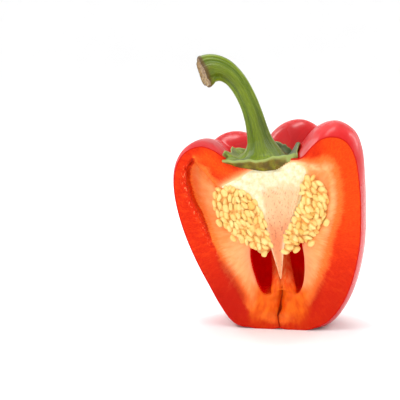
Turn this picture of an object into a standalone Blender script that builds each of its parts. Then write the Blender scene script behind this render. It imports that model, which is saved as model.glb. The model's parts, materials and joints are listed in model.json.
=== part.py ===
"""Half of a red bell pepper, cut lengthways in front of its stem and standing on its blossom end.

Millimetres are used in the functions and turned into metres when a mesh is made.
+X is to the right of someone facing the cut, +Y goes from the cut face into the
pepper, +Z is up. The origin is the middle of the bounding box's underside.
"""

from math import acos, atan2, cos, degrees, exp, pi, radians, sin, sqrt, tan

import bmesh
import bpy
import numpy as np
from mathutils import Vector

# ---------------------------------------------------------------- dimensions, mm
MM = 0.001
CUT_Y = -10.0  # the knife's plane, in front of the stem's axis
LEAN = radians(6.0)  # the fruit's axis leans to the left as it rises
BASE_X = 4.7  # where the axis meets the surface it stands on
SINK = 0.6  # how much the lowest part of each lobe is pressed flat
GAP = 0.35  # clearance between neighbouring pieces
ORIGIN = (1.35, -12.17, 0.0)  # moves the middle of the box's underside to the origin

# Outline of the fruit from the blossom pit to the stem's seat: (radius, height).
# One line for the crest of a lobe on the right, one on the left, and one for the
# bottom of the furrow between two lobes.
CREST_RIGHT = [(0, 7), (4, 4), (8.5, 1.2), (14.4, 0), (21.7, 2.3), (29.1, 9.8), (35.3, 20.6), (39.6, 34), (41.5, 49), (42.5, 63), (43.0, 75), (41.0, 83.8), (34.0, 89.4), (24.8, 88.0), (17, 80.2), (10.5, 71.8), (0, 68.4)]
CREST_LEFT = [(0, 7), (4, 4), (8.5, 1.2), (14.5, 0), (21.5, 2.0), (26.2, 9.4), (30.3, 20), (34.8, 33), (39.2, 49), (41.2, 63), (40.3, 73.5), (36.2, 81), (29.5, 84.6), (22.5, 83.2), (15.5, 77.5), (10, 71.5), (0, 68.4)]
CREST_BACK = [(0, 7), (4.5, 4.6), (11, 1.4), (19.5, 0), (27.5, 2.6), (33.4, 10), (37.4, 21), (40.0, 34), (41.2, 49), (41.4, 63), (40.2, 75), (37.0, 83.8), (30.4, 88.4), (23.2, 86.8), (16.2, 79.5), (10.2, 71.6), (0, 68.4)]
FURROW = [(0, 7), (4, 6.2), (8, 4.8), (13, 3.6), (20, 5.0), (26.5, 11.5), (32.5, 22.5), (36.8, 36), (38.8, 50), (38.6, 62), (36.2, 71.0), (31.5, 77), (25.5, 78.3), (19.5, 75), (14, 71.2), (9, 69.2), (0, 68.4)]
# (direction in degrees from +X, width, depth at the shoulders, sides and base)
FURROWS = [(37, 11, 0.9, 0.55, 0.9), (98, 12, 1.0, 0.9, 1.0), (146, 10, 0.5, 0.3, 0.7), (217, 14, 0.9, 0.3, 0.25), (270, 15, 1.0, 0.6, 0.15), (329, 18, 1.1, 0.72, 0.3)]

# The seed chamber behind the cut, the same way.
ROOM_CREST = [(0, 17.5), (6, 15.8), (13, 14.4), (20, 14.2), (26.5, 17.5), (31, 26), (33.8, 38), (35.2, 50), (35.2, 62), (33, 71.5), (28, 77.6), (22, 77.4), (16, 71), (9, 65.5), (0, 64)]
ROOM_RIB = [(0, 17.5), (5, 18.2), (9, 19.5), (13, 22), (17, 27), (20.5, 34), (23.5, 43), (25.5, 53), (25.5, 61), (23, 66), (18.5, 67.5), (14, 66.5), (10, 65.3), (5, 64.4), (0, 64)]
ROOM_RIBS = [(90, 9, 1.0, 1.0, 1.0), (38, 9, 0.35, 0.25, 0.3), (146, 9, 0.3, 0.2, 0.3)]
ROOM_FRONT_Y = -2.6  # back of the two side ribs

# The core that carries the seeds, and the hollows that open on the cut: outlines in
# the cut's plane as (x, height), anticlockwise, round a middle point.
CORE_MIDDLE = (3.0, 59.0)
CORE = [(14.4, 64.5), (14.8, 69.0), (12.4, 71.4), (8.0, 71.2), (2.6, 68.2), (-2.6, 68.1), (-7.6, 68.2), (-13.4, 65.8), (-20.8, 61.6), (-15.8, 60.9), (-11.4, 59.6), (-7.4, 56.6), (-4.4, 52.4), (-2.2, 47.4), (-1.0, 41.0), (1.1, 34.0), (3.1, 27.6), (4.9, 22.2), (5.6, 27.6), (6.0, 33.4), (7.0, 40.4), (9.1, 46.0), (11.6, 51.8), (13.4, 57.8)]
CORE_DEPTH = [(22, 1.2), (30, 2.6), (41, 6.0), (50, 13.0), (58, 18.5), (68, 21.0), (76, 16.0)]
HEART_MIDDLE = (2.0, 52.0)
HEART = [(25.4, 56.0), (24.8, 62.6), (21.0, 66.6), (12.0, 67.0), (2.0, 66.0), (-10.0, 64.5), (-19.6, 61.6), (-23.6, 57.4), (-22.6, 51.0), (-18.8, 45.0), (-13.0, 39.6), (-6.6, 36.4), (3.0, 34.6), (11.6, 36.0), (18.2, 40.4), (23.2, 47.4)]
HEART_DEPTH = 16.0
WINDOW_MIDDLE = (3.4, 31.0)
WINDOW = [(15.0, 29.0), (14.4, 34.6), (12.0, 40.0), (3.0, 42.0), (-5.0, 40.6), (-8.0, 36.6), (-8.5, 32.0), (-7.8, 27.4), (-6.6, 23.4), (-4.8, 18.4), (-2.2, 15.2), (1.6, 15.6), (5.0, 17.6), (8.6, 16.2), (12.2, 15.8), (14.3, 19.6), (15.0, 24.4)]
WINDOW_DEPTH = 17.0
LEFT_MIDDLE = (-24.6, 51.6)
LEFT = [(-15.0, 51.6), (-16.0, 57.4), (-20.8, 60.6), (-24.6, 63.0), (-29.8, 69.0), (-33.4, 72.9), (-36.3, 69.4), (-36.3, 63.9), (-34.8, 58.4), (-33.1, 54.0), (-30.6, 49.6), (-27.9, 44.1), (-26.0, 38.8), (-22.6, 34.4), (-18.6, 34.4), (-15.6, 38.4), (-14.6, 44.6)]
LEFT_DEPTH = [(-37, 7.8), (-33, 7.2), (-28, 5.0), (-23, 3.2), (-15, 3.0)]
RIGHT_MIDDLE = (18.6, 54.0)
RIGHT = [(25.6, 56.0), (25.9, 62.0), (25.4, 67.2), (22.8, 70.4), (19.4, 69.8), (16.0, 66.0), (12.0, 58.0), (9.0, 48.0), (9.4, 40.0), (13.4, 36.9), (18.4, 39.4), (22.6, 45.6), (24.9, 51.2)]
RIGHT_DEPTH = 3.6

# The stem: (x, y, height, radius) along its centre line.
STEM = [(-4.7, 0.3, 76.4, 8.0), (-5.3, 0.5, 79.0, 6.1), (-6.1, 0.7, 82.0, 5.15), (-7.2, 1.0, 86.2, 4.55), (-8.5, 1.0, 91.0, 4.18), (-10.2, 0.8, 96.0, 3.98), (-12.3, 0.4, 100.7, 3.95), (-14.9, 0.0, 105.2, 4.05), (-18.0, -0.6, 108.9, 4.3), (-21.8, -1.4, 111.4, 5.0), (-26.0, -2.2, 111.9, 5.9), (-29.8, -3.0, 110.6, 6.4)]
STEM_RIDGES = 5

# The calyx: green leaves grown together round the stem's foot, lying on the shoulders.
CALYX_C = (-4.2, 0.3)
CALYX_HUB = 8.6  # radius where it turns up into the stem
CALYX_NOTCH = 14.0  # radius between two points
CALYX_POINTS = [(213, 19.4), (272, 16.4), (330, 17.6), (18, 16.0), (82, 16.4), (146, 17.0)]  # direction, radius
CALYX_THICK = [(0, 3.2), (5.5, 3.2), (8.6, 2.6), (12, 1.8), (16, 1.2), (20, 0.8)]

# Seeds: half length, half width, half thickness
SEED = (1.95, 1.6, 0.7)
# Beds of seeds on the core's flanks: outline in the cut's plane, middle, middle's depth,
# how far the bed swells forwards and backwards, how many seeds, where they stop
# (0.5 is the outline), and the scatter's seed.
BEDS = [
    ("seeds_front_left", [(0.6, 35.6), (-0.8, 40.5), (-1.6, 45.5), (-3.4, 50.4), (-6.2, 55.0), (-9.8, 58.6), (-14.0, 61.0), (-19.0, 61.6), (-22.6, 60.4), (-24.4, 55.6), (-23.0, 50.4), (-20.2, 46.4), (-16.6, 42.2), (-12.8, 38.4), (-7.6, 36.2), (-3.4, 33.2)], (-11.0, 49.0), -7.6, 4.0, 6.5, 50, 0.55, 6),
    ("seeds_front_right", [(24.2, 56.0), (24.2, 61.2), (20.6, 65.2), (16.4, 67.0), (14.0, 66.0), (13.6, 60.0), (12.4, 53.4), (9.8, 47.0), (7.0, 41.4), (5.8, 35.4), (8.0, 34.2), (11.6, 37.6), (15.4, 38.6), (18.6, 41.2), (21.8, 46.6), (23.4, 51.2)], (15.4, 53.0), -7.8, 4.0, 6.5, 34, 0.58, 8),
    ("seeds_back_left", [(-2.0, 50.0), (-4.0, 58.0), (-10.0, 62.5), (-17.0, 62.0), (-20.0, 56.0), (-17.5, 48.0), (-12.0, 42.0), (-5.0, 41.0)], (-10.5, 53.0), 9.5, 6.0, 5.5, 17, 1.0, 5),
    ("seeds_back_right", [(26.0, 57.0), (23.0, 62.5), (17.0, 63.0), (11.5, 58.0), (9.0, 50.0), (12.0, 41.0), (19.0, 43.0), (24.0, 49.0)], (17.0, 53.0), 10.5, 6.0, 5.5, 16, 1.0, 6),
]
BED_SCALE = 0.80  # the bed itself, inside the outline that its seeds fill
# Seeds that stand apart: middle and the direction of their length, in degrees in the cut's plane
LOOSE = [((11.5, -9.6, 35.3), 35), ((-2.3, -9.4, 33.3), 75), ((17.9, -9.8, 38.3), 50), ((-15.6, -9.6, 39.4), -42), ((-21.7, -10.0, 45.9), -55), ((24.2, -10.4, 47.5), 70)]

# ---------------------------------------------------------------- small maths
def through(points, t):
    """A smooth curve through evenly numbered points (Catmull-Rom), at t from 0 to 1."""
    P = np.asarray(points, float)
    n = len(P)
    t = np.clip(np.asarray(t, float), 0, 1) * (n - 1)
    i = np.minimum(t.astype(int), n - 2)
    f = (t - i)[..., None]
    before = np.where((i > 0)[..., None], P[np.maximum(i - 1, 0)], 2 * P[0] - P[1])
    after = np.where((i + 2 < n)[..., None], P[np.minimum(i + 2, n - 1)], 2 * P[-1] - P[-2])
    a, b = P[i], P[i + 1]
    return 0.5 * (2 * a + (b - before) * f + (2 * before - 5 * a + 4 * b - after) * f**2 + (3 * a - before - 3 * b + after) * f**3)


def ease(x):
    x = np.clip(x, 0, 1)
    return x * x * (3 - 2 * x)


def furrow_at(angle, t, furrows):
    """0 on a lobe's crest, 1 at the bottom of a furrow."""
    keep = np.ones(np.broadcast(angle, t).shape)
    for middle, width, top, side, base in furrows:
        off = np.abs((np.degrees(angle) - middle + 180) % 360 - 180)
        near = np.exp(-(np.sqrt(off * off + 9) - 3) / (width * np.interp(t, [0, 0.24, 0.5], [0.5, 0.6, 1])))
        depth = np.interp(t, [0, 0.22, 0.5, 0.72, 0.9, 1], [base, base, side, top, top, 0.6 * top])
        keep = keep * (1 - depth * near)
    return 1 - keep


def lean(p):
    """The fruit's lean, which leaves its base flat on the surface."""
    p = np.array(p, float)
    x = p[..., 0].copy()
    p[..., 0] = x - p[..., 2] * tan(LEAN) + BASE_X
    p[..., 2] = p[..., 2] + x * tan(LEAN) * ease(p[..., 2] / 45)
    return p


def fruit(angle, t):
    """The skin, by direction round the axis and t from the blossom pit to the stem's seat."""
    right = ease((np.cos(angle) + 1) / 2)[..., None]
    back = ease(np.sin(angle) * 1.3)[..., None] * 0.85
    crest = through(CREST_RIGHT, t) * right + through(CREST_LEFT, t) * (1 - right)
    crest = crest * (1 - back) + through(CREST_BACK, t) * back + np.stack([0 * t, (right[..., 0] - 0.5) * back[..., 0] * 4.4 * ease((t - 0.5) * 3)], -1)
    g = furrow_at(angle, t, FURROWS)[..., None]
    r, z = np.moveaxis(crest * (1 - g) + through(FURROW, t) * g, -1, 0)
    p = lean(np.stack([r * np.cos(angle), r * np.sin(angle), z], -1))
    p[..., 2] -= SINK
    return p


def chamber(angle, t):
    """The hollow behind the side ribs, flat against them at the front."""
    g = furrow_at(angle, t, ROOM_RIBS)[..., None]
    r, z = np.moveaxis(through(ROOM_CREST, t) * (1 - g) + through(ROOM_RIB, t) * g, -1, 0)
    p = lean(np.stack([r * np.cos(angle), r * np.sin(angle), z], -1))
    side = np.clip(np.abs(p[..., 0] - 2) / 30, 0, 1)
    front = ROOM_FRONT_Y + 3.4 * side**2
    d = p[..., 1] - front
    p[..., 1] = front + 0.5 * (d + np.sqrt(d * d + 6.0)) + 0.02 * d
    return p


def lens(middle, outline, depth, front=4.0, steep=0.5, plane=CUT_Y, scale=1.0):
    """A closed form on an outline that is parallel to the cut, swelling to front and back."""
    n = len(outline)
    padded = np.array([outline[-1]] + outline + outline[:2], float)

    def along(u):
        return through(padded, (1 + u * n) / (len(padded) - 1))

    def shape(angle, t):
        edge = along((angle / (2 * pi)) % 1.0)
        rho = np.sin(pi * t)[..., None] ** 0.9
        x, z = np.moveaxis(np.array(middle) + (edge - np.array(middle)) * rho * scale, -1, 0)
        if callable(depth):
            deep = depth(x, z)
        else:
            deep = depth + 0 * x
        c = -np.cos(pi * t)
        y = np.where(c < 0, -front * np.abs(c) ** steep, deep * np.abs(c) ** steep)
        return np.stack([x, plane + y, z], -1)

    return shape


def signed_distance(outline, x, z):
    """How far a point of the cut's plane is outside an outline; negative inside."""
    near, inside = 1e9, False
    for (ax, az), (bx, bz) in zip(outline, outline[1:] + outline[:1]):
        k = min(max(((x - ax) * (bx - ax) + (z - az) * (bz - az)) / ((bx - ax) ** 2 + (bz - az) ** 2), 0), 1)
        near = min(near, sqrt((x - ax - k * (bx - ax)) ** 2 + (z - az - k * (bz - az)) ** 2))
        if (az > z) != (bz > z) and x < ax + (z - az) * (bx - ax) / (bz - az):
            inside = not inside
    return -near if inside else near


def core_depth(x, z):
    return np.interp(z, *zip(*CORE_DEPTH))


def left_depth(x, z):
    return np.interp(x, *zip(*LEFT_DEPTH)) * ease((z - 33.5) / 16) - 0.4


# ---------------------------------------------------------------- Blender helpers
def clear():
    for obj in list(bpy.data.objects):
        bpy.data.objects.remove(obj, do_unlink=True)


def group(name):
    made = bpy.data.collections.new(name)
    bpy.context.scene.collection.children.link(made)
    return made


def paint(name, colour, roughness):
    m = bpy.data.materials.new(name)
    m.use_nodes = True
    shader = m.node_tree.nodes["Principled BSDF"]
    shader.inputs["Base Color"].default_value = (*colour, 1)
    shader.inputs["Roughness"].default_value = roughness
    shader.inputs["Metallic"].default_value = 0.0
    return m


def outward(bm):
    bmesh.ops.recalc_face_normals(bm, faces=bm.faces)
    if bm.calc_volume(signed=True) < 0:
        bmesh.ops.reverse_faces(bm, faces=bm.faces)


def add(name, bm, where, material=None):
    outward(bm)
    me = bpy.data.meshes.new(name)
    bm.to_mesh(me)
    bm.free()
    obj = bpy.data.objects.new(name, me)
    where.objects.link(obj)
    if material:
        me.materials.append(material)
        me.shade_smooth()
        me.set_sharp_from_angle(angle=radians(40))
    else:
        obj.hide_render = True
        obj.display_type = "WIRE"
    return obj


def moulded(name, shape, around, along, where, material=None, grow=0.0):
    """A UV sphere pressed into a shape given by direction and t, in mm, then grown outwards."""
    bm = bmesh.new()
    bmesh.ops.create_uvsphere(bm, u_segments=around, v_segments=along, radius=1)
    co = np.array([v.co for v in bm.verts])
    angle = np.arctan2(co[:, 1], co[:, 0])
    t = np.arccos(np.clip(-co[:, 2], -1, 1)) / pi
    for v, p in zip(bm.verts, shape(angle, t)):
        v.co = (Vector(p) + Vector(ORIGIN)) * MM
    if grow:
        outward(bm)
        bm.normal_update()
        for v, n in [(v, v.normal.copy()) for v in bm.verts]:
            v.co += n * grow * MM
    return add(name, bm, where, material)


def egg(name, centre, half, turn, where, squareness=1.0, around=24, along=14):
    """An ellipsoid cutter. turn is (about Z, about Y) in degrees."""
    about_z, about_y = map(radians, turn)

    def shape(angle, t):
        up = -np.cos(t * pi)
        flat = np.sin(t * pi)
        p = np.stack([flat * np.cos(angle), flat * np.sin(angle), up], -1)
        p = np.sign(p) * np.abs(p) ** squareness * np.array(half)
        x, y, z = np.moveaxis(p, -1, 0)
        x, y = x * cos(about_z) - y * sin(about_z), x * sin(about_z) + y * cos(about_z)
        x, z = x * cos(about_y) - z * sin(about_y), x * sin(about_y) + z * cos(about_y)
        return np.stack([x, y, z], -1) + np.array(centre)

    return moulded(name, shape, around, along, where)


def block(name, low, high, where):
    bm = bmesh.new()
    bmesh.ops.create_cube(bm, size=1)
    for v in bm.verts:
        v.co = (Vector([a + (b - a) * (c + 0.5) for a, b, c in zip(low, high, v.co)]) + Vector(ORIGIN)) * MM
    return add(name, bm, where)


def boolean(obj, other, operation="DIFFERENCE"):
    m = obj.modifiers.new(f"{operation.lower()}_{other.name}", "BOOLEAN")
    m.operation = operation
    m.solver = "EXACT"
    if isinstance(other, bpy.types.Collection):
        m.operand_type = "COLLECTION"
        m.collection = other
    else:
        m.object = other


# ---------------------------------------------------------------- the pieces
def shoulder(x, y):
    """Height of the skin on top, between the stem's seat and the crests, at a point."""
    t = np.linspace(1.0, 0.76, 40)
    height = np.empty(np.shape(x))
    for i in np.ndindex(height.shape):
        px, py = x[i], y[i]
        angle = atan2(py, px + 70 * tan(LEAN) - BASE_X)
        p = fruit(np.full_like(t, angle), t)
        away = np.hypot(p[:, 0] - p[0, 0], p[:, 1] - p[0, 1])
        height[i] = np.interp(np.hypot(px - p[0, 0], py - p[0, 1]), np.maximum.accumulate(away) + np.arange(40) * 1e-6, p[:, 2])
    return height


def calyx_shape(angle, t):
    """Runs from the middle of the underside, over the rim, to the hub's middle."""
    rim = np.full(np.shape(angle), float(CALYX_NOTCH))
    for at, reach in CALYX_POINTS:
        off = np.abs((np.degrees(angle) - at + 180) % 360 - 180)
        rim = rim + (reach - CALYX_NOTCH) * np.exp(-((off / 15) ** 1.4))
    r = rim * np.sin(pi * np.clip(t, 0, 1)) ** 0.7
    x, y = CALYX_C[0] + r * np.cos(angle), CALYX_C[1] + r * np.sin(angle)
    under = shoulder(x, y) + GAP + 0.15 + 1.4 * ease((r - 13) / 6)
    thick = np.interp(r, *zip(*CALYX_THICK)) * np.clip(np.minimum(t, 1 - t) * 40, 0, 1)
    hub = np.interp(r, [0, 7.4, CALYX_HUB, 11, 13], [4.4, 4.4, 2.6, 0.6, 0]) + 0.6 * ease((r - 13) / 5)
    z = under + np.where(t < 0.5, 0, thick + hub)
    return np.stack([x, y, z], -1)


def stem_loop(t, around):
    """One ring of the stem, square to its centre line."""
    here = through(STEM, t)
    ahead = through(STEM, min(t + 0.01, 1))[:3] - through(STEM, max(t - 0.01, 0))[:3]
    ahead /= np.linalg.norm(ahead)
    if t < 0.12:  # the foot is level with the calyx's hub
        w = t / 0.12
        ahead = ahead * w + np.array([-sin(LEAN), 0, cos(LEAN)]) * (1 - w)
        ahead /= np.linalg.norm(ahead)
    side = np.cross([0, 1, 0], ahead)
    side /= np.linalg.norm(side)
    up = np.cross(ahead, side)
    ring = []
    for k in range(around):
        a = 2 * pi * k / around
        r = here[3] * (1 + 0.055 * cos(STEM_RIDGES * a + 0.8 + 0.6 * t))
        ring.append(here[:3] + side * (r * cos(a)) + up * (r * sin(a)))
    return ring


def stem_mesh(around=20, rings=17):
    bm = bmesh.new()
    loops = [[bm.verts.new((Vector(p) + Vector(ORIGIN)) * MM) for p in stem_loop(i / (rings - 1), around)] for i in range(rings)]
    for low, high in zip(loops, loops[1:]):
        for k in range(around):
            bm.faces.new((low[k], low[(k + 1) % around], high[(k + 1) % around], high[k]))
    for loop in (loops[0], loops[-1]):
        bm.faces.new(loop)
    return bm


def seeds_on(shape, count, stop, seed):
    """Centres and axes of flat seeds spread over a bed: a golden spiral, jittered."""
    rng = np.random.default_rng(seed)
    heart = shape(np.array([0.0, 0.0]), np.array([0.0, 1.0])).mean(0)
    for k in range(count):
        low = (1 - cos(pi * stop)) / 2
        t = acos(1 - 2 * low * (k + 0.5) / count) / pi
        angle = (k * pi * (3 - sqrt(5))) % (2 * pi)
        e = 0.004
        around = np.array([angle, angle + e, angle, angle - e, angle])
        down = np.array([t, t, min(t + e, 1), t, max(t - e, 0)])
        p = shape(around, down)
        out = np.cross(p[2] - p[4], p[1] - p[3])
        out /= np.linalg.norm(out) + 1e-12
        if t < 0.04:
            out = np.array([0, -1.0, 0])
        if np.dot(out, p[0] - heart) < 0:
            out = -out
        lie = np.cross(out, rng.normal(0, 1, 3))
        lie /= np.linalg.norm(lie)
        tip = radians(rng.uniform(-42, 42))
        flat = cos(tip) * out + sin(tip) * np.cross(lie, out)
        yield p[0] - out * 0.1, lie, np.cross(flat, lie), flat


def seed_mesh(at, long_, wide, flat, grow=0.0, around=6, along=3):
    bm = bmesh.new()
    bmesh.ops.create_uvsphere(bm, u_segments=around, v_segments=along, radius=1)
    for v in bm.verts:
        p = at + long_ * v.co.x * (SEED[0] + grow) + wide * v.co.y * (SEED[1] + grow) + flat * v.co.z * (SEED[2] + grow)
        v.co = (Vector(p) + Vector(ORIGIN)) * MM
    return bm


def build():
    clear()
    pepper = group("bell_pepper_half")
    cutters = group("cutters")
    red = paint("flesh", (0.78, 0.05, 0.01), 0.35)
    cream = paint("core", (0.95, 0.80, 0.50), 0.5)
    green = paint("green", (0.16, 0.30, 0.03), 0.5)
    gold = paint("seed", (0.95, 0.70, 0.30), 0.45)

    # The flesh: the whole fruit, less what the knife took and what is hollow.
    taken = bpy.data.collections.new("taken_from_flesh")
    cutters.children.link(taken)
    flesh = moulded("flesh", fruit, 54, 32, pepper, red)
    knife = block("cut_front", (-70, -80, -20), (70, CUT_Y, 120), taken)
    block("cut_base", (-70, -60, -20), (70, 80, 0), taken)
    moulded("cut_chamber", chamber, 36, 20, taken)
    # The gap between the two side ribs, from the cut through to the chamber.
    moulded("cut_window", lens(WINDOW_MIDDLE, WINDOW, WINDOW_DEPTH, steep=0.3), 26, 8, taken)
    moulded("cut_heart", lens(HEART_MIDDLE, HEART, HEART_DEPTH, steep=0.35), 22, 8, taken)
    # What is left of the two front hollows: a deep one on the left, a shallow one on the right.
    moulded("cut_pocket_left", lens(LEFT_MIDDLE, LEFT, left_depth, steep=0.35), 28, 10, taken)
    moulded("cut_pocket_right", lens(RIGHT_MIDDLE, RIGHT, RIGHT_DEPTH, steep=0.45), 22, 8, taken)
    # The crease at the blossom end.
    block("cut_crease", (4.55, -16, -3), (5.35, CUT_Y + 4.5, 19), taken)
    # Seats for the core and the calyx.
    core = lens(CORE_MIDDLE, CORE, core_depth)
    clear_core = moulded("cut_core", core, 36, 10, taken, grow=GAP)
    clear_calyx = moulded("cut_calyx", calyx_shape, 30, 12, taken, grow=GAP)
    # Room for the seeds, which lean into the ribs here and there.
    rooms = {}
    for name, outline, middle, plane, front, back, *_ in BEDS:
        room = lens(middle, outline, back, front, 0.4, plane)
        rooms[name] = moulded("room_" + name, room, 24, 10, cutters)
        if "front" in name:
            moulded("clear_" + name, room, 24, 10, taken, grow=GAP)
    apart = []
    for k, (at, turn) in enumerate(LOOSE):
        a = radians(turn)
        long_ = np.array([cos(a), 0, sin(a)])
        wide = np.array([-sin(a) * 0.8, 0.6, cos(a) * 0.8])
        axes = (np.array(at), long_, wide, np.cross(long_, wide))
        apart.append(axes)
        add(f"clear_seed_{k + 1}", seed_mesh(*axes, grow=GAP + 0.25, around=6, along=4), taken)
    boolean(flesh, taken)

    placenta = moulded("placenta_core", core, 36, 10, pepper, cream)
    boolean(placenta, knife)
    boolean(placenta, clear_calyx)
    moulded("calyx", calyx_shape, 30, 12, pepper, green)
    boolean(add("stem", stem_mesh(), pepper, green), clear_calyx)

    for name, outline, middle, plane, front, back, count, stop, seed in BEDS:
        bed = lens(middle, outline, back * BED_SCALE, front * 0.72, 0.5, plane, BED_SCALE)
        cluster = moulded(name, bed, 24, 8, pepper, gold)
        grains = bpy.data.collections.new("grains_" + name)
        cutters.children.link(grains)
        for k, axes in enumerate(seeds_on(bed, count, stop, seed)):
            at = axes[0]
            lone = min(np.linalg.norm(at - other[0]) for other in apart) > 3.4
            beside = signed_distance(CORE, at[0], at[2]) > 1.0 or at[1] > CUT_Y + core_depth(at[0], at[2]) + 0.5
            if lone and beside:
                add(f"grain_{name}_{k}", seed_mesh(*axes), grains)
        boolean(cluster, grains, "UNION")
        boolean(cluster, rooms[name], "INTERSECT")
        boolean(cluster, clear_core)
    for k, axes in enumerate(apart):
        add(f"seed_{k + 1:02d}", seed_mesh(*axes, around=8, along=5), pepper, gold)


build()
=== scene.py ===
"""The looks of half a red bell pepper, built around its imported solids.

The forms are the ones that the solids have, at a finer grain, with the skin, the cut
flesh, the core, the seeds and the green parts finished in procedural materials.
"""

import json
from math import acos, atan2, cos, degrees, exp, pi, radians, sin, sqrt, tan

import bmesh
import bpy
import numpy as np
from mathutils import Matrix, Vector, noise
from mathutils.bvhtree import BVHTree

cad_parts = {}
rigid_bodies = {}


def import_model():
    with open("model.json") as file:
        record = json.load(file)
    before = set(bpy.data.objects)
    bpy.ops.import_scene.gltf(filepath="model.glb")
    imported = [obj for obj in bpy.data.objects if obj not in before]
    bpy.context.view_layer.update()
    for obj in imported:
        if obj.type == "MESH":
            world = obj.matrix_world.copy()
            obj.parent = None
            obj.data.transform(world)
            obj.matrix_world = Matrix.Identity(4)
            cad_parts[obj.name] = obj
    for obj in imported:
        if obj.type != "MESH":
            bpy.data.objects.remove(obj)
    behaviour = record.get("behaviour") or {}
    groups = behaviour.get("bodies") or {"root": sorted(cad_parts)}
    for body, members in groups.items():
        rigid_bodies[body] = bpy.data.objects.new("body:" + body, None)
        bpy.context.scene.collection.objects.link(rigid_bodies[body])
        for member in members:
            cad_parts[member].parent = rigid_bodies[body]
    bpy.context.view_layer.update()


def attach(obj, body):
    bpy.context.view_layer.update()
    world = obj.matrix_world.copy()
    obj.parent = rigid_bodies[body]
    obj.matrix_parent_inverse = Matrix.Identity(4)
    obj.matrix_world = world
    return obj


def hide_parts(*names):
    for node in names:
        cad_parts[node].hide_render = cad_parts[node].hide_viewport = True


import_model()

# ---------------------------------------------------------------- dimensions, mm
MM = 0.001
CUT_Y = -10.0  # the knife's plane, in front of the stem's axis
LEAN = radians(6.0)  # the fruit's axis leans to the left as it rises
BASE_X = 4.7  # where the axis meets the surface it stands on
SINK = 0.6  # how much the lowest part of each lobe is pressed flat
GAP = 0.35  # clearance between neighbouring pieces
ORIGIN = (1.35, -12.17, 0.0)  # moves the middle of the box's underside to the origin

# Outline of the fruit from the blossom pit to the stem's seat: (radius, height).
# One line for the crest of a lobe on the right, one on the left, and one for the
# bottom of the furrow between two lobes.
CREST_RIGHT = [(0, 7), (4, 4), (8.5, 1.2), (14.4, 0), (21.7, 2.3), (29.1, 9.8), (35.3, 20.6), (39.6, 34), (41.5, 49), (42.5, 63), (43.0, 75), (41.0, 83.8), (34.0, 89.4), (24.8, 88.0), (17, 80.2), (10.5, 71.8), (0, 68.4)]
CREST_LEFT = [(0, 7), (4, 4), (8.5, 1.2), (14.5, 0), (21.5, 2.0), (26.2, 9.4), (30.3, 20), (34.8, 33), (39.2, 49), (41.2, 63), (40.3, 73.5), (36.2, 81), (29.5, 84.6), (22.5, 83.2), (15.5, 77.5), (10, 71.5), (0, 68.4)]
CREST_BACK = [(0, 7), (4.5, 4.6), (11, 1.4), (19.5, 0), (27.5, 2.6), (33.4, 10), (37.4, 21), (40.0, 34), (41.2, 49), (41.4, 63), (40.2, 75), (37.0, 83.8), (30.4, 88.4), (23.2, 86.8), (16.2, 79.5), (10.2, 71.6), (0, 68.4)]
FURROW = [(0, 7), (4, 6.2), (8, 4.8), (13, 3.6), (20, 5.0), (26.5, 11.5), (32.5, 22.5), (36.8, 36), (38.8, 50), (38.6, 62), (36.2, 71.0), (31.5, 77), (25.5, 78.3), (19.5, 75), (14, 71.2), (9, 69.2), (0, 68.4)]
# (direction in degrees from +X, width, depth at the shoulders, sides and base)
FURROWS = [(37, 11, 0.9, 0.55, 0.9), (98, 12, 1.0, 0.9, 1.0), (146, 10, 0.5, 0.3, 0.7), (217, 14, 0.9, 0.3, 0.25), (270, 15, 1.0, 0.6, 0.15), (329, 18, 1.1, 0.72, 0.3)]

# The seed chamber behind the cut, the same way.
ROOM_CREST = [(0, 17.5), (6, 15.8), (13, 14.4), (20, 14.2), (26.5, 17.5), (31, 26), (33.8, 38), (35.2, 50), (35.2, 62), (33, 71.5), (28, 77.6), (22, 77.4), (16, 71), (9, 65.5), (0, 64)]
ROOM_RIB = [(0, 17.5), (5, 18.2), (9, 19.5), (13, 22), (17, 27), (20.5, 34), (23.5, 43), (25.5, 53), (25.5, 61), (23, 66), (18.5, 67.5), (14, 66.5), (10, 65.3), (5, 64.4), (0, 64)]
ROOM_RIBS = [(90, 9, 1.0, 1.0, 1.0), (38, 9, 0.35, 0.25, 0.3), (146, 9, 0.3, 0.2, 0.3)]
ROOM_FRONT_Y = -2.6  # back of the two side ribs

# The core that carries the seeds, and the hollows that open on the cut: outlines in
# the cut's plane as (x, height), anticlockwise, round a middle point.
CORE_MIDDLE = (3.0, 59.0)
CORE = [(14.4, 64.5), (14.8, 69.0), (12.4, 71.4), (8.0, 71.2), (2.6, 68.2), (-2.6, 68.1), (-7.6, 68.2), (-13.4, 65.8), (-20.8, 61.6), (-15.8, 60.9), (-11.4, 59.6), (-7.4, 56.6), (-4.4, 52.4), (-2.2, 47.4), (-1.0, 41.0), (1.1, 34.0), (3.1, 27.6), (4.9, 22.2), (5.6, 27.6), (6.0, 33.4), (7.0, 40.4), (9.1, 46.0), (11.6, 51.8), (13.4, 57.8)]
CORE_DEPTH = [(22, 1.2), (30, 2.6), (41, 6.0), (50, 13.0), (58, 18.5), (68, 21.0), (76, 16.0)]
HEART_MIDDLE = (2.0, 52.0)
HEART = [(25.4, 56.0), (24.8, 62.6), (21.0, 66.6), (12.0, 67.0), (2.0, 66.0), (-10.0, 64.5), (-19.6, 61.6), (-23.6, 57.4), (-22.6, 51.0), (-18.8, 45.0), (-13.0, 39.6), (-6.6, 36.4), (3.0, 34.6), (11.6, 36.0), (18.2, 40.4), (23.2, 47.4)]
HEART_DEPTH = 16.0
WINDOW_MIDDLE = (3.4, 31.0)
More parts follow.
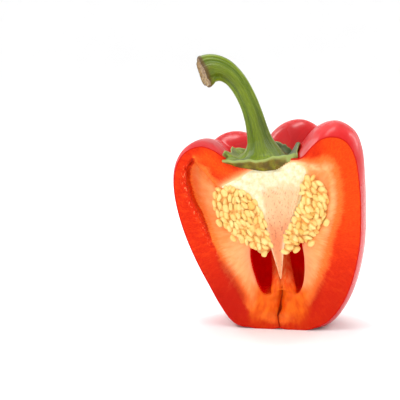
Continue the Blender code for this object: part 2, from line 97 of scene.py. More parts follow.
WINDOW = [(15.0, 29.0), (14.4, 34.6), (12.0, 40.0), (3.0, 42.0), (-5.0, 40.6), (-8.0, 36.6), (-8.5, 32.0), (-7.8, 27.4), (-6.6, 23.4), (-4.8, 18.4), (-2.2, 15.2), (1.6, 15.6), (5.0, 17.6), (8.6, 16.2), (12.2, 15.8), (14.3, 19.6), (15.0, 24.4)]
WINDOW_DEPTH = 17.0
LEFT_MIDDLE = (-24.6, 51.6)
LEFT = [(-15.0, 51.6), (-16.0, 57.4), (-20.8, 60.6), (-24.6, 63.0), (-29.8, 69.0), (-33.4, 72.9), (-36.3, 69.4), (-36.3, 63.9), (-34.8, 58.4), (-33.1, 54.0), (-30.6, 49.6), (-27.9, 44.1), (-26.0, 38.8), (-22.6, 34.4), (-18.6, 34.4), (-15.6, 38.4), (-14.6, 44.6)]
LEFT_DEPTH = [(-37, 7.8), (-33, 7.2), (-28, 5.0), (-23, 3.2), (-15, 3.0)]
RIGHT_MIDDLE = (18.6, 54.0)
RIGHT = [(25.6, 56.0), (25.9, 62.0), (25.4, 67.2), (22.8, 70.4), (19.4, 69.8), (16.0, 66.0), (12.0, 58.0), (9.0, 48.0), (9.4, 40.0), (13.4, 36.9), (18.4, 39.4), (22.6, 45.6), (24.9, 51.2)]
RIGHT_DEPTH = 3.6

# The stem: (x, y, height, radius) along its centre line.
STEM = [(-4.7, 0.3, 76.4, 8.0), (-5.3, 0.5, 79.0, 6.1), (-6.1, 0.7, 82.0, 5.15), (-7.2, 1.0, 86.2, 4.55), (-8.5, 1.0, 91.0, 4.18), (-10.2, 0.8, 96.0, 3.98), (-12.3, 0.4, 100.7, 3.95), (-14.9, 0.0, 105.2, 4.05), (-18.0, -0.6, 108.9, 4.3), (-21.8, -1.4, 111.4, 5.0), (-26.0, -2.2, 111.9, 5.9), (-29.8, -3.0, 110.6, 6.4)]
STEM_RIDGES = 5

# The calyx: green leaves grown together round the stem's foot, lying on the shoulders.
CALYX_C = (-4.2, 0.3)
CALYX_HUB = 8.6  # radius where it turns up into the stem
CALYX_NOTCH = 14.0  # radius between two points
CALYX_POINTS = [(213, 19.4), (272, 16.4), (330, 17.6), (18, 16.0), (82, 16.4), (146, 17.0)]  # direction, radius
CALYX_THICK = [(0, 3.2), (5.5, 3.2), (8.6, 2.6), (12, 1.8), (16, 1.2), (20, 0.8)]

# Seeds: half length, half width, half thickness
SEED = (1.95, 1.6, 0.7)
# Beds of seeds on the core's flanks: outline in the cut's plane, middle, middle's depth,
# how far the bed swells forwards and backwards, how many seeds, where they stop
# (0.5 is the outline), and the scatter's seed.
BEDS = [
    ("seeds_front_left", [(0.6, 35.6), (-0.8, 40.5), (-1.6, 45.5), (-3.4, 50.4), (-6.2, 55.0), (-9.8, 58.6), (-14.0, 61.0), (-19.0, 61.6), (-22.6, 60.4), (-24.4, 55.6), (-23.0, 50.4), (-20.2, 46.4), (-16.6, 42.2), (-12.8, 38.4), (-7.6, 36.2), (-3.4, 33.2)], (-11.0, 49.0), -7.6, 4.0, 6.5, 50, 0.55, 6),
    ("seeds_front_right", [(24.2, 56.0), (24.2, 61.2), (20.6, 65.2), (16.4, 67.0), (14.0, 66.0), (13.6, 60.0), (12.4, 53.4), (9.8, 47.0), (7.0, 41.4), (5.8, 35.4), (8.0, 34.2), (11.6, 37.6), (15.4, 38.6), (18.6, 41.2), (21.8, 46.6), (23.4, 51.2)], (15.4, 53.0), -7.8, 4.0, 6.5, 34, 0.58, 8),
    ("seeds_back_left", [(-2.0, 50.0), (-4.0, 58.0), (-10.0, 62.5), (-17.0, 62.0), (-20.0, 56.0), (-17.5, 48.0), (-12.0, 42.0), (-5.0, 41.0)], (-10.5, 53.0), 9.5, 6.0, 5.5, 17, 1.0, 5),
    ("seeds_back_right", [(26.0, 57.0), (23.0, 62.5), (17.0, 63.0), (11.5, 58.0), (9.0, 50.0), (12.0, 41.0), (19.0, 43.0), (24.0, 49.0)], (17.0, 53.0), 10.5, 6.0, 5.5, 16, 1.0, 6),
]
BED_SCALE = 0.80  # the bed itself, inside the outline that its seeds fill
# Seeds that stand apart: middle and the direction of their length, in degrees in the cut's plane
LOOSE = [((11.5, -9.6, 35.3), 35), ((-2.3, -9.4, 33.3), 75), ((17.9, -9.8, 38.3), 50), ((-15.6, -9.6, 39.4), -42), ((-21.7, -10.0, 45.9), -55), ((24.2, -10.4, 47.5), 70)]

# ---------------------------------------------------------------- small maths
def through(points, t):
    """A smooth curve through evenly numbered points (Catmull-Rom), at t from 0 to 1."""
    P = np.asarray(points, float)
    n = len(P)
    t = np.clip(np.asarray(t, float), 0, 1) * (n - 1)
    i = np.minimum(t.astype(int), n - 2)
    f = (t - i)[..., None]
    before = np.where((i > 0)[..., None], P[np.maximum(i - 1, 0)], 2 * P[0] - P[1])
    after = np.where((i + 2 < n)[..., None], P[np.minimum(i + 2, n - 1)], 2 * P[-1] - P[-2])
    a, b = P[i], P[i + 1]
    return 0.5 * (2 * a + (b - before) * f + (2 * before - 5 * a + 4 * b - after) * f**2 + (3 * a - before - 3 * b + after) * f**3)


def ease(x):
    x = np.clip(x, 0, 1)
    return x * x * (3 - 2 * x)


def furrow_at(angle, t, furrows):
    """0 on a lobe's crest, 1 at the bottom of a furrow."""
    keep = np.ones(np.broadcast(angle, t).shape)
    for middle, width, top, side, base in furrows:
        off = np.abs((np.degrees(angle) - middle + 180) % 360 - 180)
        near = np.exp(-(np.sqrt(off * off + 9) - 3) / (width * np.interp(t, [0, 0.24, 0.5], [0.5, 0.6, 1])))
        depth = np.interp(t, [0, 0.22, 0.5, 0.72, 0.9, 1], [base, base, side, top, top, 0.6 * top])
        keep = keep * (1 - depth * near)
    return 1 - keep


def lean(p):
    """The fruit's lean, which leaves its base flat on the surface."""
    p = np.array(p, float)
    x = p[..., 0].copy()
    p[..., 0] = x - p[..., 2] * tan(LEAN) + BASE_X
    p[..., 2] = p[..., 2] + x * tan(LEAN) * ease(p[..., 2] / 45)
    return p


def fruit(angle, t):
    """The skin, by direction round the axis and t from the blossom pit to the stem's seat."""
    right = ease((np.cos(angle) + 1) / 2)[..., None]
    back = ease(np.sin(angle) * 1.3)[..., None] * 0.85
    crest = through(CREST_RIGHT, t) * right + through(CREST_LEFT, t) * (1 - right)
    crest = crest * (1 - back) + through(CREST_BACK, t) * back + np.stack([0 * t, (right[..., 0] - 0.5) * back[..., 0] * 4.4 * ease((t - 0.5) * 3)], -1)
    g = furrow_at(angle, t, FURROWS)[..., None]
    r, z = np.moveaxis(crest * (1 - g) + through(FURROW, t) * g, -1, 0)
    p = lean(np.stack([r * np.cos(angle), r * np.sin(angle), z], -1))
    p[..., 2] -= SINK
    return p


def chamber(angle, t):
    """The hollow behind the side ribs, flat against them at the front."""
    g = furrow_at(angle, t, ROOM_RIBS)[..., None]
    r, z = np.moveaxis(through(ROOM_CREST, t) * (1 - g) + through(ROOM_RIB, t) * g, -1, 0)
    p = lean(np.stack([r * np.cos(angle), r * np.sin(angle), z], -1))
    side = np.clip(np.abs(p[..., 0] - 2) / 30, 0, 1)
    front = ROOM_FRONT_Y + 3.4 * side**2
    d = p[..., 1] - front
    p[..., 1] = front + 0.5 * (d + np.sqrt(d * d + 6.0)) + 0.02 * d
    return p


def lens(middle, outline, depth, front=4.0, steep=0.5, plane=CUT_Y, scale=1.0):
    """A closed form on an outline that is parallel to the cut, swelling to front and back."""
    n = len(outline)
    padded = np.array([outline[-1]] + outline + outline[:2], float)

    def along(u):
        return through(padded, (1 + u * n) / (len(padded) - 1))

    def shape(angle, t):
        edge = along((angle / (2 * pi)) % 1.0)
        rho = np.sin(pi * t)[..., None] ** 0.9
        x, z = np.moveaxis(np.array(middle) + (edge - np.array(middle)) * rho * scale, -1, 0)
        if callable(depth):
            deep = depth(x, z)
        else:
            deep = depth + 0 * x
        c = -np.cos(pi * t)
        y = np.where(c < 0, -front * np.abs(c) ** steep, deep * np.abs(c) ** steep)
        return np.stack([x, plane + y, z], -1)

    return shape


def signed_distance(outline, x, z):
    """How far a point of the cut's plane is outside an outline; negative inside."""
    near, inside = 1e9, False
    for (ax, az), (bx, bz) in zip(outline, outline[1:] + outline[:1]):
        k = min(max(((x - ax) * (bx - ax) + (z - az) * (bz - az)) / ((bx - ax) ** 2 + (bz - az) ** 2), 0), 1)
        near = min(near, sqrt((x - ax - k * (bx - ax)) ** 2 + (z - az - k * (bz - az)) ** 2))
        if (az > z) != (bz > z) and x < ax + (z - az) * (bx - ax) / (bz - az):
            inside = not inside
    return -near if inside else near


def core_depth(x, z):
    return np.interp(z, *zip(*CORE_DEPTH))


def left_depth(x, z):
    return np.interp(x, *zip(*LEFT_DEPTH)) * ease((z - 33.5) / 16) - 0.4


def shoulder(x, y):
    """Height of the skin on top, between the stem's seat and the crests, at a point."""
    t = np.linspace(1.0, 0.76, 40)
    height = np.empty(np.shape(x))
    for i in np.ndindex(height.shape):
        px, py = x[i], y[i]
        angle = atan2(py, px + 70 * tan(LEAN) - BASE_X)
        p = fruit(np.full_like(t, angle), t)
        away = np.hypot(p[:, 0] - p[0, 0], p[:, 1] - p[0, 1])
        height[i] = np.interp(np.hypot(px - p[0, 0], py - p[0, 1]), np.maximum.accumulate(away) + np.arange(40) * 1e-6, p[:, 2])
    return height


# ---------------------------------------------------------------- mesh helpers
OFFSET = np.array(ORIGIN)
cutters = bpy.data.collections.new("cutters")
bpy.context.scene.collection.children.link(cutters)
cutters.hide_render = True


def to_m(p):
    return (np.asarray(p, float) + OFFSET) * MM


def ball_grid(shape, around, along):
    """Vertices in mm and faces of a closed form given by direction and t, with single points at its poles."""
    t = (np.arange(1, along) / along)[:, None]
    angle = (np.arange(around) / around * 2 * pi)[None, :]
    T, A = np.broadcast_arrays(t, angle)
    P = shape(A.copy(), T.copy()).reshape(-1, 3)
    ends = shape(np.array([0.0, 0.0]), np.array([0.0, 1.0]))
    verts = np.vstack([P, ends])
    first, last = len(P), len(P) + 1
    k = np.arange(around)
    k2 = (k + 1) % around
    faces = []
    for i in range(along - 2):
        a, b = i * around, (i + 1) * around
        faces += np.stack([a + k, a + k2, b + k2, b + k], -1).tolist()
    faces += [[first, int(k2[j]), int(k[j])] for j in range(around)]
    top = (along - 2) * around
    faces += [[last, int(top + k[j]), int(top + k2[j])] for j in range(around)]
    return verts, faces


def make(name, verts_mm, faces, where=None, smooth=True):
    me = bpy.data.meshes.new(name)
    me.from_pydata(to_m(verts_mm).tolist(), [], faces)
    bm = bmesh.new()
    bm.from_mesh(me)
    bmesh.ops.recalc_face_normals(bm, faces=bm.faces)
    if bm.calc_volume(signed=True) < 0:
        bmesh.ops.reverse_faces(bm, faces=bm.faces)
    bm.to_mesh(me)
    bm.free()
    me.update()
    if smooth:
        me.shade_smooth()
    obj = bpy.data.objects.new(name, me)
    (where or bpy.context.scene.collection).objects.link(obj)
    if where:
        obj.hide_render = True
    return obj


def coords(me):
    co = np.empty(len(me.vertices) * 3)
    me.vertices.foreach_get("co", co)
    return co.reshape(-1, 3)


def set_coords(me, co):
    me.vertices.foreach_set("co", np.ascontiguousarray(co, float).ravel())
    me.update()


def edges_of(me):
    e = np.empty(len(me.edges) * 2, int)
    me.edges.foreach_get("vertices", e)
    return e.reshape(-1, 2)


def relax(p, e, weight, rounds, keep_volume=True):
    """Laplacian smoothing of the points p, by weight, with a counter-step that keeps the form's bulk."""
    n = len(p)
    deg = np.maximum(np.bincount(e.ravel(), minlength=n), 1)[:, None]
    for _ in range(rounds):
        for step in (0.5, -0.53) if keep_volume else (0.5,):
            s = np.zeros_like(p)
            for a, b in ((0, 1), (1, 0)):
                for i in range(3):
                    s[:, i] += np.bincount(e[:, a], p[e[:, b], i], minlength=n)
            p = p + (s / deg - p) * step * weight[:, None]
    return p


def spread(values, e, rounds):
    n = len(values)
    deg = np.maximum(np.bincount(e.ravel(), minlength=n), 1)
    for _ in range(rounds):
        s = np.bincount(e[:, 0], values[e[:, 1]], minlength=n) + np.bincount(e[:, 1], values[e[:, 0]], minlength=n)
        values = 0.5 * values + 0.5 * s / deg
    return values


def attribute(me, name, values):
    values = np.asarray(values, np.float32)
    kind = "FLOAT" if values.ndim == 1 else ("FLOAT_VECTOR" if values.shape[1] == 3 else "FLOAT_COLOR")
    layer = me.attributes.new(name, kind, "POINT")
    layer.data.foreach_set({"FLOAT": "value", "FLOAT_VECTOR": "vector", "FLOAT_COLOR": "color"}[kind], values.ravel())


def outside(outline, x, z):
    """Signed distance in the cut's plane to an outline: positive outside it."""
    o = np.asarray(outline, float)
    x, z = np.asarray(x, float), np.asarray(z, float)
    near = np.full(x.shape, 1e9)
    inside = np.zeros(x.shape, bool)
    for (ax, az), (bx, bz) in zip(o, np.roll(o, -1, 0)):
        dx, dz = bx - ax, bz - az
        k = np.clip(((x - ax) * dx + (z - az) * dz) / (dx * dx + dz * dz), 0, 1)
        near = np.minimum(near, np.hypot(x - ax - k * dx, z - az - k * dz))
        if az != bz:
            inside ^= ((az > z) != (bz > z)) & (x < ax + (z - az) * dx / dz)
    return np.where(inside, -near, near)


def rounded(outline, points=120):
    """The smooth closed curve through an outline's points."""
    padded = np.array([outline[-1]] + list(outline) + list(outline[:2]), float)
    return through(padded, (1 + np.linspace(0, 1, points, endpoint=False) * len(outline)) / (len(padded) - 1))


def lumps(p, size, seed=0.0, octaves=2):
    """Smooth noise at points in mm, about -1 to 1."""
    out = np.empty(len(p))
    for i, (x, y, z) in enumerate(np.asarray(p) / size):
        out[i] = noise.fractal((x + seed, y - seed, z + 2 * seed), 1.0, 2.0, octaves)
    return out


# ---------------------------------------------------------------- material helpers
def srgb(r, g, b):
    def f(c):
        c /= 255
        return c / 12.92 if c <= 0.04045 else ((c + 0.055) / 1.055) ** 2.4

    return (f(r), f(g), f(b), 1.0)


class Nodes:
    """A short way to write a material's nodes."""

    def __init__(self, name, **sockets):
        self.material = bpy.data.materials.new(name)
        self.material.use_nodes = True
        self.tree = self.material.node_tree
        self.shader = self.tree.nodes["Principled BSDF"]
        for key, value in sockets.items():
            self.shader.inputs[key.replace("_", " ")].default_value = value

    def link(self, socket, value):
        if isinstance(value, bpy.types.NodeSocket):
            self.tree.links.new(value, socket)
        elif value is not None:
            socket.default_value = value

    def attr(self, name, out="Fac"):
        node = self.tree.nodes.new("ShaderNodeAttribute")
        node.attribute_name = name
        return node.outputs[out]

    def place(self):
        return self.tree.nodes.new("ShaderNodeTexCoord").outputs["Object"]

    def math(self, kind, a, b=None, c=None, clamp=False):
        node = self.tree.nodes.new("ShaderNodeMath")
        node.operation = kind
        node.use_clamp = clamp
        for i, v in enumerate((a, b, c)):
            self.link(node.inputs[i], v)
        return node.outputs[0]

    def scale(self, vector, by):
        node = self.tree.nodes.new("ShaderNodeVectorMath")
        node.operation = "MULTIPLY"
        self.link(node.inputs[0], vector)
        self.link(node.inputs[1], by)
        return node.outputs[0]

    def noise(self, vector, scale=1.0, detail=3.0, roughness=0.55, distortion=0.0, out="Fac"):
        node = self.tree.nodes.new("ShaderNodeTexNoise")
        self.link(node.inputs["Vector"], vector)
        for key, v in (("Scale", scale), ("Detail", detail), ("Roughness", roughness), ("Distortion", distortion)):
            self.link(node.inputs[key], v)
        return node.outputs[out]

    def cells(self, vector, scale=1.0, feature="F1", randomness=1.0, out="Distance"):
        node = self.tree.nodes.new("ShaderNodeTexVoronoi")
        node.feature = feature
        self.link(node.inputs["Vector"], vector)
        self.link(node.inputs["Scale"], scale)
        self.link(node.inputs["Randomness"], randomness)
        return node.outputs[out]

    def span(self, value, low, high, to_low=0.0, to_high=1.0, smooth=True):
        node = self.tree.nodes.new("ShaderNodeMapRange")
        node.interpolation_type = "SMOOTHSTEP" if smooth else "LINEAR"
        node.clamp = True
        for i, v in enumerate((value, low, high, to_low, to_high)):
            self.link(node.inputs[i], v)
        return node.outputs[0]

    def mix(self, amount, a, b, how="MIX"):
        node = self.tree.nodes.new("ShaderNodeMix")
        node.data_type = "RGBA"
        node.blend_type = how
        node.clamp_factor = True
        self.link(node.inputs["Factor"], amount)
        self.link(node.inputs["A"], a)
        self.link(node.inputs["B"], b)
        return node.outputs["Result"]

    def bump(self, height, distance, strength=1.0, normal=None):
        node = self.tree.nodes.new("ShaderNodeBump")
        self.link(node.inputs["Height"], height)
        node.inputs["Distance"].default_value = distance
        node.inputs["Strength"].default_value = strength
        if normal is not None:
            self.link(node.inputs["Normal"], normal)
        return node.outputs[0]

    def to(self, **sockets):
        for key, value in sockets.items():
            self.link(self.shader.inputs[key.replace("_", " ")], value)
        return self.material


# ---------------------------------------------------------------- materials
def skin_material():
    m = Nodes("pepper_skin", Roughness=0.2, IOR=1.4)
    m.shader.inputs["Specular IOR Level"].default_value = 0.17
    m.shader.inputs["Coat Weight"].default_value = 0.2
    m.shader.inputs["Coat Roughness"].default_value = 0.14
    m.shader.inputs["Subsurface Weight"].default_value = 0.12
    m.shader.inputs["Subsurface Scale"].default_value = 0.002
    m.shader.inputs["Subsurface Radius"].default_value = (1.0, 0.12, 0.06)
    p = m.place()
    broad = m.noise(m.scale(p, (60, 60, 28)), 1.0, 3.0, 0.5)
    streak = m.noise(m.scale(m.attr("wrap", "Vector"), (0.55, 0.06, 0.0)), 1.0, 4.0, 0.6)
    fleck = m.cells(m.scale(p, (620, 620, 620)), 1.0)
    colour = m.mix(m.span(broad, 0.35, 0.65), srgb(207, 4, 8), srgb(187, 1, 7))
    colour = m.mix(m.math("MULTIPLY", m.span(streak, 0.52, 0.78), 0.5), colour, srgb(208, 18, 11))
    colour = m.mix(m.math("MULTIPLY", m.attr("seat"), 0.75), colour, srgb(226, 62, 24))
    colour = m.mix(m.math("MULTIPLY", m.span(fleck, 0.0, 0.22, 1.0, 0.0), 0.18), colour, srgb(226, 60, 44))
    fine = m.noise(m.scale(p, (900, 900, 900)), 1.0, 3.0, 0.6)
    wavy = m.noise(m.scale(p, (110, 110, 80)), 1.0, 2.0, 0.5)
    normal = m.bump(fine, 0.00003, 0.5, m.bump(wavy, 0.0006, 0.35))
    rough = m.math("ADD", m.span(broad, 0.3, 0.7, 0.23, 0.32), m.span(m.attr("shine"), 0.2, 1.0, 0.3, 0.0))
    return m.to(Base_Color=colour, Roughness=rough, Normal=normal, Coat_Weight=m.math("MULTIPLY", m.attr("shine"), 0.2))


def flesh_material():
    m = Nodes("cut_flesh", Roughness=0.42, IOR=1.38)
    m.shader.inputs["Specular IOR Level"].default_value = 0.14
    m.shader.inputs["Subsurface Weight"].default_value = 0.25
    m.shader.inputs["Subsurface Scale"].default_value = 0.003
    m.shader.inputs["Subsurface Radius"].default_value = (1.0, 0.35, 0.12)
    p = m.place()
    depth = m.attr("depth")
    fibre = m.attr("fibre", "Vector")
    # Fibres run from the skin inwards, so the noise is stretched that way.
    fine = m.noise(m.scale(fibre, (2.6, 0.75, 1.2)), 1.0, 4.0, 0.62)
    coarse = m.noise(m.scale(fibre, (0.62, 0.2, 0.3)), 1.0, 3.0, 0.5)
    grain = m.noise(m.scale(p, (1500, 1500, 1500)), 1.0, 2.0, 0.6)
    cell = m.cells(m.scale(p, (1150, 1150, 1150)), 1.0)
    wall = m.mix(m.span(fine, 0.25, 0.75), srgb(212, 34, 1), srgb(230, 52, 4))
    wall = m.mix(m.math("MULTIPLY", m.span(coarse, 0.45, 0.75), 0.4), wall, srgb(252, 80, 18))
    # Painted shade: the cut wall turns darker red towards the bottom and the left.
    low = m.attr("low")
    wall = m.mix(m.math("MULTIPLY", low, 0.7), wall, srgb(184, 18, 1))
    wall = m.mix(m.attr("amber"), wall, m.mix(m.span(fine, 0.25, 0.75), srgb(248, 70, 4), srgb(254, 96, 14)))
    wall = m.mix(m.math("MULTIPLY", m.span(grain, 0.35, 0.65), 0.22), wall, srgb(206, 22, 0))
    orange = m.mix(m.span(fine, 0.25, 0.75), srgb(252, 104, 32), srgb(254, 124, 54))
    peach = m.mix(m.span(coarse, 0.3, 0.7), srgb(249, 150, 84), srgb(251, 166, 102))
    pink = srgb(248, 152, 112)
    pale = m.mix(m.span(fine, 0.2, 0.8), srgb(250, 184, 122), srgb(252, 196, 140))
    # Ragged limits between the kinds of flesh.
    rag = m.math("SUBTRACT", m.math("ADD", m.math("MULTIPLY", coarse, 1.2), m.math("MULTIPLY", fine, 0.8)), 1.0)
    inward = m.math("ADD", m.attr("inward"), m.math("MULTIPLY", rag, m.attr("ragged")))
    colour = m.mix(m.span(inward, -3.4, -0.4), wall, orange)
    colour = m.mix(m.span(inward, -0.6, 3.4), colour, peach)
    colour = m.mix(m.math("MULTIPLY", m.span(m.math("ADD", m.attr("pale"), m.math("MULTIPLY", rag, 0.25)), 0.2, 0.95), 0.8), colour, pale)
    colour = m.mix(m.attr("pink"), colour, pink)
    colour = m.mix(m.attr("humps"), colour, m.mix(m.span(coarse, 0.3, 0.7), srgb(226, 76, 4), srgb(245, 110, 20)))
    # Painted shade: darker orange in the hollow under the window's bottom lip and down the fissure.
    colour = m.mix(m.math("MULTIPLY", m.attr("under"), 0.45), colour, srgb(206, 66, 4))
    # Painted shade along the window's bottom lip, which tones down the light that its rounded edge catches.
    colour = m.mix(m.math("MULTIPLY", m.attr("lip"), 0.5), colour, srgb(240, 100, 34))
    colour = m.mix(m.attr("warm"), colour, m.mix(m.span(fine, 0.25, 0.75), srgb(250, 104, 26), srgb(254, 136, 54)))
    # Painted shade: a darker red band along the limit between wall and peach flesh, low on the cut.
    colour = m.mix(m.math("MULTIPLY", m.attr("painted_boundary_shade"), m.span(fine, 0.2, 0.6, 0.35, 0.8)), colour, srgb(178, 22, 1))
    colour = m.mix(m.math("MULTIPLY", m.attr("cream"), m.span(fine, 0.1, 0.5, 0.75, 1.0)), colour, srgb(254, 226, 168))
    room = m.mix(m.span(m.noise(m.scale(p, (260, 260, 260)), 1.0, 3.0), 0.35, 0.65), srgb(216, 8, 4), srgb(230, 18, 8))
    room = m.mix(m.attr("rib"), room, m.mix(m.span(coarse, 0.35, 0.7), srgb(246, 92, 34), srgb(255, 138, 74)))
    # Painted shade: a dark line in the crease between the rib's two folds.
    room = m.mix(m.math("MULTIPLY", m.attr("painted_rib_crease_shade"), 0.8), room, srgb(150, 10, 4))
    colour = m.mix(m.attr("room"), colour, room)
    # The torn wall by the crease on the left is a deeper red, which also carries painted shade in the tear.
    torn_and_shade = m.noise(m.scale(p, (700, 700, 700)), 1.0, 4.0, 0.7)
    rip = m.span(m.math("ADD", m.attr("torn_and_shade"), m.math("MULTIPLY", m.math("SUBTRACT", torn_and_shade, 0.5), 1.5)), 0.3, 0.6, 0.0, 0.9)
    colour = m.mix(rip, colour, m.mix(m.span(grain, 0.35, 0.65), srgb(198, 26, 2), srgb(222, 48, 8)))
    # Painted shadow: a dark line in the tear on the left and in the fissure below the window.
    crease = m.span(m.math("ADD", m.attr("crease"), m.math("MULTIPLY", m.math("SUBTRACT", torn_and_shade, 0.5), 0.7)), 0.35, 0.8, 0.0, 0.85)
    colour = m.mix(crease, colour, srgb(150, 22, 2))
    # Painted highlights: small light orange glints on the torn fibres along the tear.
    shred = m.noise(m.scale(p, (1500, 1500, 900)), 1.0, 2.0, 0.6)
    colour = m.mix(m.math("MULTIPLY", m.attr("painted_fibre_glints"), m.span(shred, 0.56, 0.66)), colour, srgb(255, 130, 84))
    colour = m.mix(m.span(depth, 0.2, 0.62, 1.0, 0.0), colour, srgb(196, 14, 4))
    # Painted glow: the chamber's walls and the rib get a red emission that stands in for daylight coming through the
    # thin walls.
    veil = m.noise(m.scale(p, (170, 170, 90)), 1.0, 3.0, 0.5)
    painted_glow = m.mix(m.span(veil, 0.35, 0.65), (0.095, 0.0, 0.0, 1), (0.135, 0.0, 0.0, 1))
    painted_glow = m.mix(m.attr("rib"), painted_glow, (0.125, 0.026, 0.006, 1))
    painted_glow = m.mix(m.attr("room"), (0, 0, 0, 1), painted_glow)
    m.shader.inputs["Emission Strength"].default_value = 1.0
    height = m.math("ADD", m.math("MULTIPLY", fine, 1.0), m.math("ADD", m.math("MULTIPLY", grain, 0.35), m.math("MULTIPLY", cell, 0.3)))
    normal = m.bump(height, 0.00016, 0.8)
    rough = m.span(m.math("ADD", fine, m.math("MULTIPLY", m.attr("room"), -0.4)), 0.1, 0.8, 0.26, 0.52)
    return m.to(Base_Color=colour, Roughness=rough, Normal=normal, Emission_Color=painted_glow)


def core_material():
    m = Nodes("core_tissue", Roughness=0.5, IOR=1.38)
    m.shader.inputs["Specular IOR Level"].default_value = 0.3
    m.shader.inputs["Subsurface Weight"].default_value = 0.15
    m.shader.inputs["Subsurface Scale"].default_value = 0.002
    m.shader.inputs["Subsurface Radius"].default_value = (1.0, 0.85, 0.6)
    p = m.place()
    grain = m.noise(m.scale(p, (480, 480, 480)), 1.0, 5.0, 0.6)
    soft = m.noise(m.scale(p, (190, 190, 120)), 1.0, 3.0, 0.5)
    speck = m.noise(m.scale(p, (1900, 1900, 800)), 1.0, 2.0, 0.5)
    colour = m.mix(m.span(grain, 0.3, 0.7), srgb(241, 221, 166), srgb(254, 249, 219))
    tone = m.math("ADD", m.attr("peach"), m.math("MULTIPLY", m.math("SUBTRACT", soft, 0.5), 0.55))
    colour = m.mix(m.span(tone, 0.15, 0.6), colour, srgb(246, 198, 150))
    colour = m.mix(m.span(tone, 0.55, 1.15), colour, srgb(238, 144, 96))
    dots = m.math("MULTIPLY", m.span(speck, 0.55, 0.68), m.span(m.attr("peach"), 0.2, 0.9, 0.08, 0.75))
    colour = m.mix(dots, colour, srgb(196, 112, 80))
    colour = m.mix(m.attr("rim"), colour, srgb(255, 246, 206))
    normal = m.bump(m.math("ADD", grain, m.math("MULTIPLY", soft, 0.6)), 0.0007, 0.9)
    return m.to(Base_Color=colour, Normal=normal)


def seed_material():
    m = Nodes("seed_coat", Roughness=0.38, IOR=1.42)
    m.shader.inputs["Specular IOR Level"].default_value = 0.38
    m.shader.inputs["Subsurface Weight"].default_value = 0.08
    m.shader.inputs["Subsurface Scale"].default_value = 0.0008
    m.shader.inputs["Subsurface Radius"].default_value = (1.0, 0.85, 0.6)
    p = m.place()
    grain = m.noise(m.scale(p, (1400, 1400, 1400)), 1.0, 3.0, 0.6)
    colour = m.mix(m.attr("tone"), srgb(246, 194, 100), srgb(253, 224, 146))
    colour = m.mix(m.span(grain, 0.45, 0.8, 0.0, 0.35), colour, srgb(236, 160, 76))
    colour = m.mix(m.math("MULTIPLY", m.attr("tip"), 0.6), colour, srgb(226, 140, 66))
    # Painted shade: the parts of a seed that lie deep in the cluster turn warm orange, as in the shade between seeds.
    colour = m.mix(m.math("MULTIPLY", m.attr("buried"), 0.85), colour, srgb(246, 156, 72))
    return m.to(Base_Color=colour, Normal=m.bump(grain, 0.00012, 0.6))


def bed_material():
    m = Nodes("seed_bed_tissue", Roughness=0.55)
    m.shader.inputs["Specular IOR Level"].default_value = 0.25
    p = m.place()
    soft = m.noise(m.scale(p, (420, 420, 420)), 1.0, 4.0, 0.6)
    colour = m.mix(m.span(soft, 0.3, 0.7), srgb(238, 158, 78), srgb(250, 194, 112))
    return m.to(Base_Color=colour, Normal=m.bump(soft, 0.0006, 0.9))


def green_material(name, rough):
    m = Nodes(name, Roughness=rough, IOR=1.42)
    m.shader.inputs["Specular IOR Level"].default_value = 0.42
    m.shader.inputs["Subsurface Weight"].default_value = 0.08
    m.shader.inputs["Subsurface Scale"].default_value = 0.001
    m.shader.inputs["Subsurface Radius"].default_value = (0.5, 1.0, 0.2)
    p = m.place()
    along = m.attr("along", "Vector")
    streak = m.noise(m.scale(along, (3.2, 0.16, 0.0)), 1.0, 4.0, 0.6)
    patch = m.noise(m.scale(p, (120, 120, 120)), 1.0, 4.0, 0.6)
    grain = m.noise(m.scale(p, (1100, 1100, 1100)), 1.0, 3.0, 0.6)
    fleck = m.cells(m.scale(p, (900, 900, 900)), 1.0)
    colour = m.mix(m.span(streak, 0.3, 0.72), srgb(88, 110, 2), srgb(128, 146, 16))
    colour = m.mix(m.math("MULTIPLY", m.span(patch, 0.45, 0.75), 0.35), colour, srgb(80, 98, 4))
    colour = m.mix(m.math("MULTIPLY", m.span(fleck, 0.0, 0.25, 1.0, 0.0), 0.3), colour, srgb(172, 184, 96))
    # Painted shade in the grooves between the ridges of the stem and the calyx's top.
    colour = m.mix(m.math("MULTIPLY", m.attr("groove_shade"), 0.6), colour, srgb(70, 98, 2))
    # A darker leaf at the back right, and painted shade down one side of the stem and under the calyx's rim at its left
    # end.
    colour = m.mix(m.attr("dark_and_shade"), colour, m.mix(m.span(patch, 0.3, 0.7), srgb(46, 62, 6), srgb(72, 86, 14)))
    colour = m.mix(m.attr("olive"), colour, m.mix(m.span(m.noise(m.scale(p, (260, 260, 260)), 1.0, 4.0, 0.65), 0.38, 0.6), srgb(86, 66, 4), srgb(140, 136, 20)))
    brown = m.math("MULTIPLY", m.attr("brown"), m.span(m.noise(m.scale(p, (520, 520, 520)), 1.0, 4.0, 0.7), 0.45, 0.6))
    colour = m.mix(brown, colour, srgb(96, 54, 8))
    colour = m.mix(m.attr("edge"), colour, srgb(168, 182, 104))
    cork = m.mix(m.span(m.noise(m.scale(p, (900, 900, 900)), 1.0, 4.0, 0.7), 0.35, 0.65), srgb(106, 76, 38), srgb(180, 150, 100))
    colour = m.mix(m.attr("cork"), colour, cork)
    colour = m.mix(m.attr("ring"), colour, srgb(92, 62, 24))
    height = m.math("ADD", m.math("MULTIPLY", streak, 0.8), m.math("MULTIPLY", grain, 0.4))
    return m.to(Base_Color=colour, Normal=m.bump(height, 0.0004, 0.8))


